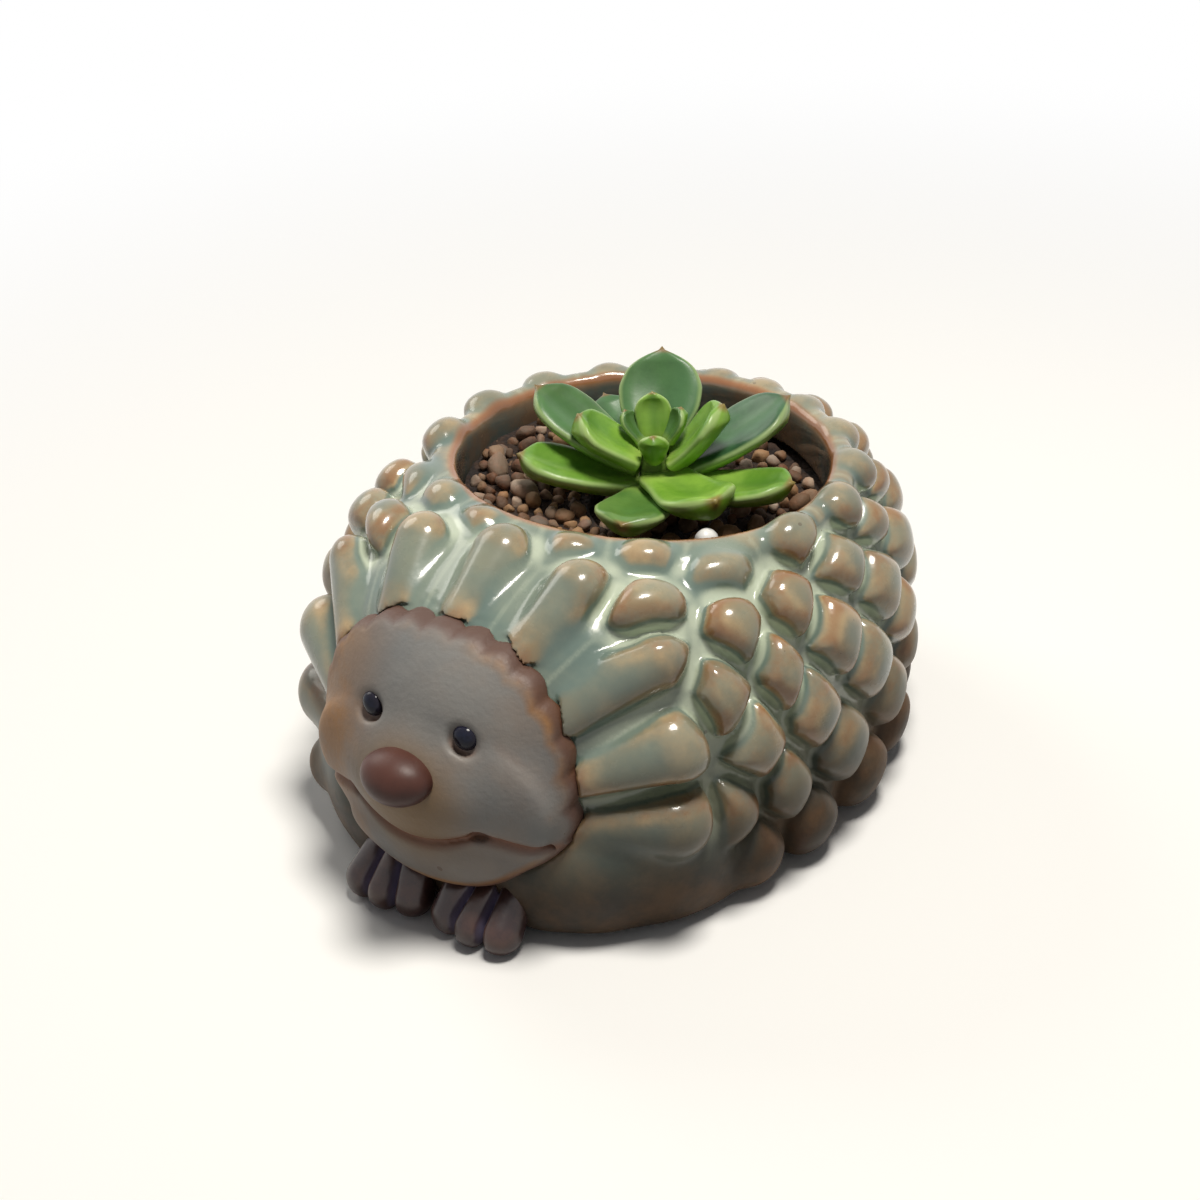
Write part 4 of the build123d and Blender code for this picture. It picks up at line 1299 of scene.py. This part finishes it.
def makeLeaf(number, leaf, s):
    turn, height, rootRise, tipRise, length, width, thickness, rootShare, paintedLightAndTone = leaf
    rng = np.random.default_rng(s["seed"] + number)
    outward = np.array([math.cos(math.radians(turn)), math.sin(math.radians(turn)), 0.0])
    sideways = np.array([-math.sin(math.radians(turn)), math.cos(math.radians(turn)), 0.0])
    upright = np.array([0, 0, 1.0])
    stemHere = s["stemRadius"] - (s["stemRadius"] - s["stemTop"]) * height / s["stemHeight"]

    def depthAt(share):
        return thickness * np.minimum(1.0, s["rootDepth"] + s["depthSlope"] * share)

    crown = s["crownShare"] * depthAt(s["rootWidth"])
    reach = stemHere + s["gap"] + crown * math.sin(math.radians(rootRise))
    middle = np.array(s["stemFoot"]) + upright * height + outward * reach
    spots = 1 - (1 - np.linspace(0, 1, s["rings"])) ** s["ringPower"]
    knots = [(0, rootShare), (0.2, 0.3 + 0.7 * rootShare), *s["shape"]]
    shares = np.maximum(smoothCurve(knots, spots), s["least"])
    angles = np.linspace(0, 2 * math.pi, s["around"], endpoint=False)
    side, lift = np.cos(angles), np.sin(angles)
    wave = rng.uniform(0, 6.28, 3)
    waveSize, waveCount = s["edgeWave"]
    troughDepth, troughHalf = s["trough"]
    keelPower, keelRound = s["keel"]
    rippleSize, rippleCount, rippleTurn = s["ripple"]
    points, along, across, upper = [], [], [], []
    before = 0.0
    for spot, share in zip(spots, shares):
        rise = math.radians(rootRise + (tipRise - rootRise) * (before + spot) / 2)
        ahead = outward * math.cos(rise) + upright * math.sin(rise)
        middle = middle + ahead * length * (spot - before)
        before = spot
        rise = math.radians(rootRise + (tipRise - rootRise) * spot)
        normal = outward * -math.sin(rise) + upright * math.cos(rise)
        half = width * share / 2 * (1 + waveSize * math.sin(waveCount * spot + wave[0]))
        depth = depthAt(share)
        trough = troughDepth * share * np.maximum(0, 1 - (side / troughHalf) ** 2) ** 2
        over = depth * (s["crownShare"] * np.abs(lift) ** s["crownPower"] - trough)
        under = -depth * (1 - s["crownShare"]) * (1 - np.abs(side) ** keelPower) ** keelRound
        flat = np.where(lift >= 0, over, under) + s["cup"] * width * share * (side ** 2) * 0.5
        flat = flat + rippleSize * depth * np.sin(rippleCount * spot * (1 + rippleTurn * side) + wave[1])
        points.append(middle + sideways * (half * side)[:, None] + normal * flat[:, None])
        along.append(np.full(len(side), spot))
        across.append(np.abs(side))
        upper.append((lift >= -0.02).astype(float))
    ahead = outward * math.cos(rise) + upright * math.sin(rise)
    tip = middle + ahead * s["tipLength"] * length
    rootPoint = points[0].mean(axis=0)
    count = s["around"]
    faces = [
        (r + k, r + (k + 1) % count, r + count + (k + 1) % count, r + count + k)
        for r in range(0, (len(points) - 1) * count, count)
        for k in range(count)
    ]
    last = (len(points) - 1) * count
    total = len(points) * count
    faces += [(last + k, last + (k + 1) % count, total) for k in range(count)]
    faces += [((k + 1) % count, k, total + 1) for k in range(count)]
    made = makeObject(f"leaf_{number:02d}_skin", np.concatenate([*points, [tip], [rootPoint]]), faces)
    centre = np.concatenate(points).mean(axis=0) * mm
    facing = sum(p.area * p.normal.dot(p.center - Vector(centre)) for p in made.data.polygons)
    if facing < 0:
        made.data.flip_normals()
    paint(made, "along", np.concatenate([*along, [1.0], [0.0]]))
    paint(made, "across", np.concatenate([*across, [1.0], [0.0]]))
    paint(made, "upper", np.concatenate([*upper, [0.5], [0.5]]))
    # share of the sunlit colour per leaf: painted light and shade, partly the leaf's own tone
    paint(made, "paintedLightAndTone", np.full(total + 2, paintedLightAndTone))
    return made


leafTones = {
    # shaded dark green and sunlit bright green, mixed per leaf: painted light and shade, partly the
    # leaf's own tone
    "deepAndShaded": ("#274a2d", "#446d46", 70.0, 0.36, 0.66),
    "bright": ("#5f9022", "#96bf4c", 60.0, 0.36, 0.66),
    "below": ("#648f1c", "#8ab43c", 80.0, 0.40, 0.62),
    "belowShare": 0.75,
    "spineTo": (0.0, 0.45),
    "spine": (0.25, "#3c6b2f"),
    "marginFrom": (0.86, 0.995),
    "margin": (0.6, "#b9d08a"),
    "rootTo": (0.0, 0.3),
    "root": (0.55, "#a3bd5c"),
    "tipFrom": (0.955, 1.0),
    "tip": (0.7, "#8a5a35"),
    "specks": (170.0, 0.1, 0.3, "#a9b070"),
    "roughness": 0.34,
    "specular": 0.4,
    "grain": (1500.0, 240.0, 0.6, 0.1, 0.0005),
}


def leafFinish(s):
    finish, tree, shader = startFinish("leafSkin")
    along, across = painted(tree, "along"), painted(tree, "across")
    upper, paintedLightAndTone = painted(tree, "upper"), painted(tree, "paintedLightAndTone")
    deepAndShaded, bright = clouds(tree, s["deepAndShaded"]), clouds(tree, s["bright"])
    # each leaf mixes the shaded and the sunlit green by its share: painted light and shade, partly the
    # leaf's own tone
    colour = mixColour(tree, paintedLightAndTone, deepAndShaded["Colour"], bright["Colour"])
    under = sums(tree, "MULTIPLY", without(tree, upper), s["belowShare"])
    colour = mixColour(tree, under, colour, clouds(tree, s["below"])["Colour"])
    colour = stained(tree, colour, without(tree, ramp(tree, across, *s["spineTo"])), s["spine"])
    colour = stained(tree, colour, ramp(tree, across, *s["marginFrom"]), s["margin"])
    colour = stained(tree, colour, without(tree, ramp(tree, along, *s["rootTo"])), s["root"])
    colour = stained(tree, colour, ramp(tree, along, *s["tipFrom"]), s["tip"])
    coverWith(tree, shader, speckled(tree, colour, s["specks"]), s)
    return finish


leafLook = leafFinish(leafTones)
for number, leaf in enumerate(plantSettings["leaves"], 1):
    leafSkin = makeLeaf(number, leaf, plantSettings)
    leafSkin.data.materials.append(leafLook)
    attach(leafSkin, "plant")
    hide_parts(f"leaf_{number:02d}")
print("leaves made")


# Gravel on a bank of soil, higher at the animal's right and back
gravelSettings = {
    "hole": (3.0, 9.0),
    "holeRadius": 12.35,
    "plugRadius": 11.7,
    "soil": 46.5,
    "bank": 48.4,
    "bankLean": 3.8,
    "pebbleSpot": nodeMiddle("white_pebble"),
    "pebbleLift": 3.2,
    "lowest": 47.3,
    "leanTo": (-0.85, 0.3),
    "clear": 0.5,
    "sizes": (1.2, 2.8),
    "tries": 9000,
    "overlap": 0.74,
    "pebble": 2.7,
    "pebbleClear": 0.6,
    "pebbleSeat": 30.0,
    "leanReach": 28.0,
    "bankRun": 10.0,
    "bankSides": 180,
    "bankRings": 26,
    "waves": 26,
    "waveSize": 1.6,
    "waveHeight": 1.6,
    "bankSeat": 0.02,
    "acrossRange": (-34, 34),
    "alongRange": (-23, 41),
    "sizePower": 1.7,
    "density": 0.75,
    "densityLean": 0.75,
    "flats": 8,
    "flatDepth": (0.52, 0.86),
    "flatWear": 0.95,
    "stretch": (0.78, 1.15),
    "seed": 41,
    "bedSeed": 51,
    "plugSeed": 52,
    "pebbleSeed": 63,
}


def leanAt(x, y, s=gravelSettings):
    return (s["leanTo"][0] * x + s["leanTo"][1] * (y - s["hole"][1])) / s["leanReach"]


def bankHeight(x, y, s=gravelSettings):
    lean = np.clip(leanAt(x, y), -1, 1)
    fromHole = np.hypot(x - s["hole"][0], y - s["hole"][1])
    away = np.clip((fromHole - s["holeRadius"]) / s["bankRun"], 0, 1)
    pebble = s["pebbleSpot"]
    fromPebble = (x - pebble[0]) ** 2 + (y - pebble[1]) ** 2
    seat = s["pebbleLift"] * np.exp(-fromPebble / s["pebbleSeat"])
    return np.maximum(s["bank"] + s["bankLean"] * lean * away, s["lowest"]) + seat


def stoneShape(rng, s=gravelSettings):
    # rounded stone: a ball with several worn flats
    ball = bmesh.new()
    bmesh.ops.create_icosphere(ball, subdivisions=2, radius=1.0)
    points = np.array([v.co[:] for v in ball.verts])
    faces = [[v.index for v in f.verts] for f in ball.faces]
    ball.free()
    for _ in range(s["flats"]):
        normal = rng.normal(size=3)
        normal /= np.linalg.norm(normal)
        beyond = np.maximum(points @ normal - rng.uniform(*s["flatDepth"]), 0)
        points = points - beyond[:, None] * normal * s["flatWear"]
    points = points * rng.uniform(*s["stretch"], 3)
    spin = np.linalg.qr(rng.normal(size=(3, 3)))[0]
    spin *= np.sign(np.linalg.det(spin))
    return points @ spin, faces


def ringedBank(name, ringShares, inner, outer, top, bottom, angles):
    # closed ring of soil between two outlines, with an uneven top
    count = len(angles)
    points, faces = [], []
    for share in ringShares:
        x = inner[0] + (outer[0] - inner[0]) * share
        y = inner[1] + (outer[1] - inner[1]) * share
        points += [(px, py, pz) for px, py, pz in zip(x, y, top(x, y))]
    rows = len(ringShares)
    base = len(points)
    points += [(px, py, bottom) for px, py in zip(outer[0], outer[1])]
    points += [(px, py, bottom) for px, py in zip(inner[0], inner[1])]
    for r in range(rows - 1):
        for k in range(count):
            n = (k + 1) % count
            faces.append((r * count + k, (r + 1) * count + k, (r + 1) * count + n, r * count + n))
    last = (rows - 1) * count
    for k in range(count):
        n = (k + 1) % count
        faces.append((last + k, base + k, base + n, last + n))
        faces.append((base + k, base + count + k, base + count + n, base + n))
        faces.append((base + count + k, k, n, base + count + n))
    return makeObject(name, points, faces)


def makeBank(s):
    angles = np.linspace(0, 2 * math.pi, s["bankSides"], endpoint=False)

    def fromHole(reach):
        return s["hole"][0] + reach * np.cos(angles), s["hole"][1] + reach * np.sin(angles)

    # the outer outline is met along the ray from the hole's middle
    reach = np.full(len(angles), 10.0)
    for _ in range(60):
        reach = reach - (mouthField(*fromHole(reach)) + s["clear"]) * 0.7
    rng = np.random.default_rng(s["seed"])
    waves = rng.uniform(-1, 1, (s["waves"], 2)) * s["waveSize"]
    phases = rng.uniform(0, 6.28, s["waves"])

    def top(x, y):
        rough = sum(np.sin(w[0] * x + w[1] * y + f) for w, f in zip(waves, phases)) / s["waves"]
        return bankHeight(x, y) + s["waveHeight"] * rough

    shares = np.linspace(0, 1, s["bankRings"])
    inner, outer = fromHole(s["holeRadius"]), fromHole(reach)
    return ringedBank("soil_bank", shares, inner, outer, top, s["soil"] + s["bankSeat"], angles)


def scatterStones(name, spots, seed):
    rng = np.random.default_rng(seed)
    points, faces, shade, warm = [], [], [], []
    for x, y, z, radius in spots:
        shape, sides = stoneShape(rng)
        start = sum(len(p) for p in points)
        points.append(shape * radius + np.array([x, y, z]))
        faces += [[start + k for k in f] for f in sides]
        shade.append(np.full(len(shape), rng.uniform()))
        warm.append(np.full(len(shape), rng.uniform()))
    made = makeObject(name, np.concatenate(points), faces)
    paint(made, "shade", np.concatenate(shade))
    paint(made, "warm", np.concatenate(warm))
    return made


def chooseStones(s):
    rng = np.random.default_rng(s["seed"] + 1)
    pebble = s["pebbleSpot"]
    onPot, onPlug = [], []
    for _ in range(s["tries"]):
        x, y = rng.uniform(*s["acrossRange"]), rng.uniform(*s["alongRange"])
        smallest, largest = s["sizes"]
        radius = smallest + (largest - smallest) * rng.uniform() ** s["sizePower"]
        fromHole = math.hypot(x - s["hole"][0], y - s["hole"][1])
        edge = float(mouthField(np.float64(x), np.float64(y)))
        if edge > -radius * 1.05 - s["clear"]:
            continue
        if rng.uniform() > s["density"] + s["densityLean"] * leanAt(x, y):
            continue
        if math.hypot(x - pebble[0], y - pebble[1]) < s["pebble"] + radius + s["pebbleClear"]:
            continue
        z = float(bankHeight(x, y)) + radius * rng.uniform(0.15, 0.75)
        if fromHole < s["plugRadius"] - radius:
            group, z = onPlug, s["soil"] + radius * rng.uniform(0.35, 0.8)
        elif fromHole > s["holeRadius"] + radius:
            group = onPot
        else:
            continue
        others = np.array(group).reshape(-1, 4)
        gaps = np.linalg.norm(others[:, :3] - (x, y, z), axis=1)
        if np.any(gaps < s["overlap"] * (others[:, 3] + radius)):
            continue
        group.append((x, y, z, radius))
    return onPot, onPlug


gravelTones = {
    "tan": ("#553e2d", "#9c7a57"),
    "grey": ("#67594d", "#ae9a88"),
    "shadeFrom": (0.1, 0.9),
    "greyFrom": (0.5, 0.85),
    "patch": (420.0, 0.42, 0.66),
    "rust": (0.35, "#8a5232"),
    "roughness": 0.72,
    "grain": (2400.0, 700.0, 0.4, 0.5, 0.0004),
}
soilTones = {
    "dark": ("#1d1512", "#3b2a20", 420.0, 0.40, 0.62),
    "specks": (620.0, 0.3, 0.7, "#7a5e48"),
    "roughness": 0.95,
    "grain": (900.0, 350.0, 0.45, 0.9, 0.0018),
}


def gravelFinish(s):
    finish, tree, shader = startFinish("gravel")
    shade = ramp(tree, painted(tree, "shade"), *s["shadeFrom"])
    tan = mixColour(tree, shade, *map(tint, s["tan"]))
    grey = mixColour(tree, shade, *map(tint, s["grey"]))
    colour = mixColour(tree, ramp(tree, painted(tree, "warm"), *s["greyFrom"]), tan, grey)
    coverWith(tree, shader, stained(tree, colour, patches(tree, s["patch"]), s["rust"]), s)
    return finish


def soilFinish(s):
    finish, tree, shader = startFinish("soil")
    colour = speckled(tree, clouds(tree, s["dark"])["Colour"], s["specks"])
    coverWith(tree, shader, colour, s)
    return finish


gravelLook, soilLook = gravelFinish(gravelTones), soilFinish(soilTones)
soilBank = makeBank(gravelSettings)
soilBank.data.materials.append(soilLook)
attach(soilBank, "pot")
potStones, plugStones = chooseStones(gravelSettings)
potGravel = scatterStones("gravel_bed", potStones, gravelSettings["bedSeed"])
potGravel.data.materials.append(gravelLook)
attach(potGravel, "pot")
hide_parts("top_dressing")
plugGravel = scatterStones("plug_gravel", plugStones, gravelSettings["plugSeed"])
plugGravel.data.materials.append(gravelLook)
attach(plugGravel, "plant")
print("gravel made", len(potStones), len(plugStones))


# White pebble, stem, roots, drain screen and the coarse layer under the soil
pebbleTones = {"clouds": ("#e3e2df", "#f3f3f1", 300.0, 0.35, 0.65), "roughness": 0.35}
stemTones = {
    "clouds": ("#6d8a3c", "#8ba653", 220.0, 0.36, 0.64),
    "roughness": 0.6,
    "grain": (900.0, 300.0, 0.5, 0.5, 0.0006),
}
screenTones = {"clouds": ("#1f2020", "#2c2d2c", 500.0, 0.35, 0.65), "roughness": 0.6}
coarseTones = {
    "cells": 240.0,
    "stones": ("#6b5140", "#a58a70"),
    "roughness": 0.85,
    "bump": (0.8, 0.002),
}


def cloudyFinish(name, s):
    finish, tree, shader = startFinish(name)
    coverWith(tree, shader, clouds(tree, s["clouds"])["Colour"], s)
    return finish


def coarseFinish(s):
    finish, tree, shader = startFinish("coarseLayer")
    where = addNode(tree, "ShaderNodeTexCoord").outputs["Object"]
    cells = addNode(tree, "ShaderNodeTexVoronoi", {"Vector": where, "Scale": s["cells"]})
    pick = addNode(tree, "ShaderNodeSeparateColor", {"Color": cells.outputs["Color"]}).outputs[0]
    coverWith(tree, shader, mixColour(tree, pick, *map(tint, s["stones"])), s)
    bumpFrom(tree, shader, without(tree, cells.outputs["Distance"]), *s["bump"])
    return finish


def makePebble(s):
    rng = np.random.default_rng(s["pebbleSeed"])
    low, high = nodeBox("white_pebble")
    shape, faces = stoneShape(rng)
    size = (high - low) / 2
    shape = shape / np.abs(shape).max(axis=0)
    middle = (low + high) / 2 + np.array([0, 0, s["pebbleLift"]])
    made = makeObject("pebble_stone", shape * size + middle, faces)
    eased = made.modifiers.new("eased", "SUBSURF")
    eased.levels = eased.render_levels = 1
    return made


pebbleStone = makePebble(gravelSettings)
pebbleStone.data.materials.append(cloudyFinish("whitePebble", pebbleTones))
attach(pebbleStone, "pot")
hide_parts("white_pebble")
keptLooks = {
    "stem": cloudyFinish("stemSkin", stemTones),
    "root_plug": soilLook,
    "potting_mix": soilLook,
    "drain_mesh": cloudyFinish("screenPlastic", screenTones),
    "drainage_layer": coarseFinish(coarseTones),
}
for nodeName, look in keptLooks.items():
    kept = bpy.data.objects[nodeName]
    kept.data.materials.clear()
    kept.data.materials.append(look)
print("pebble and inner pieces made")
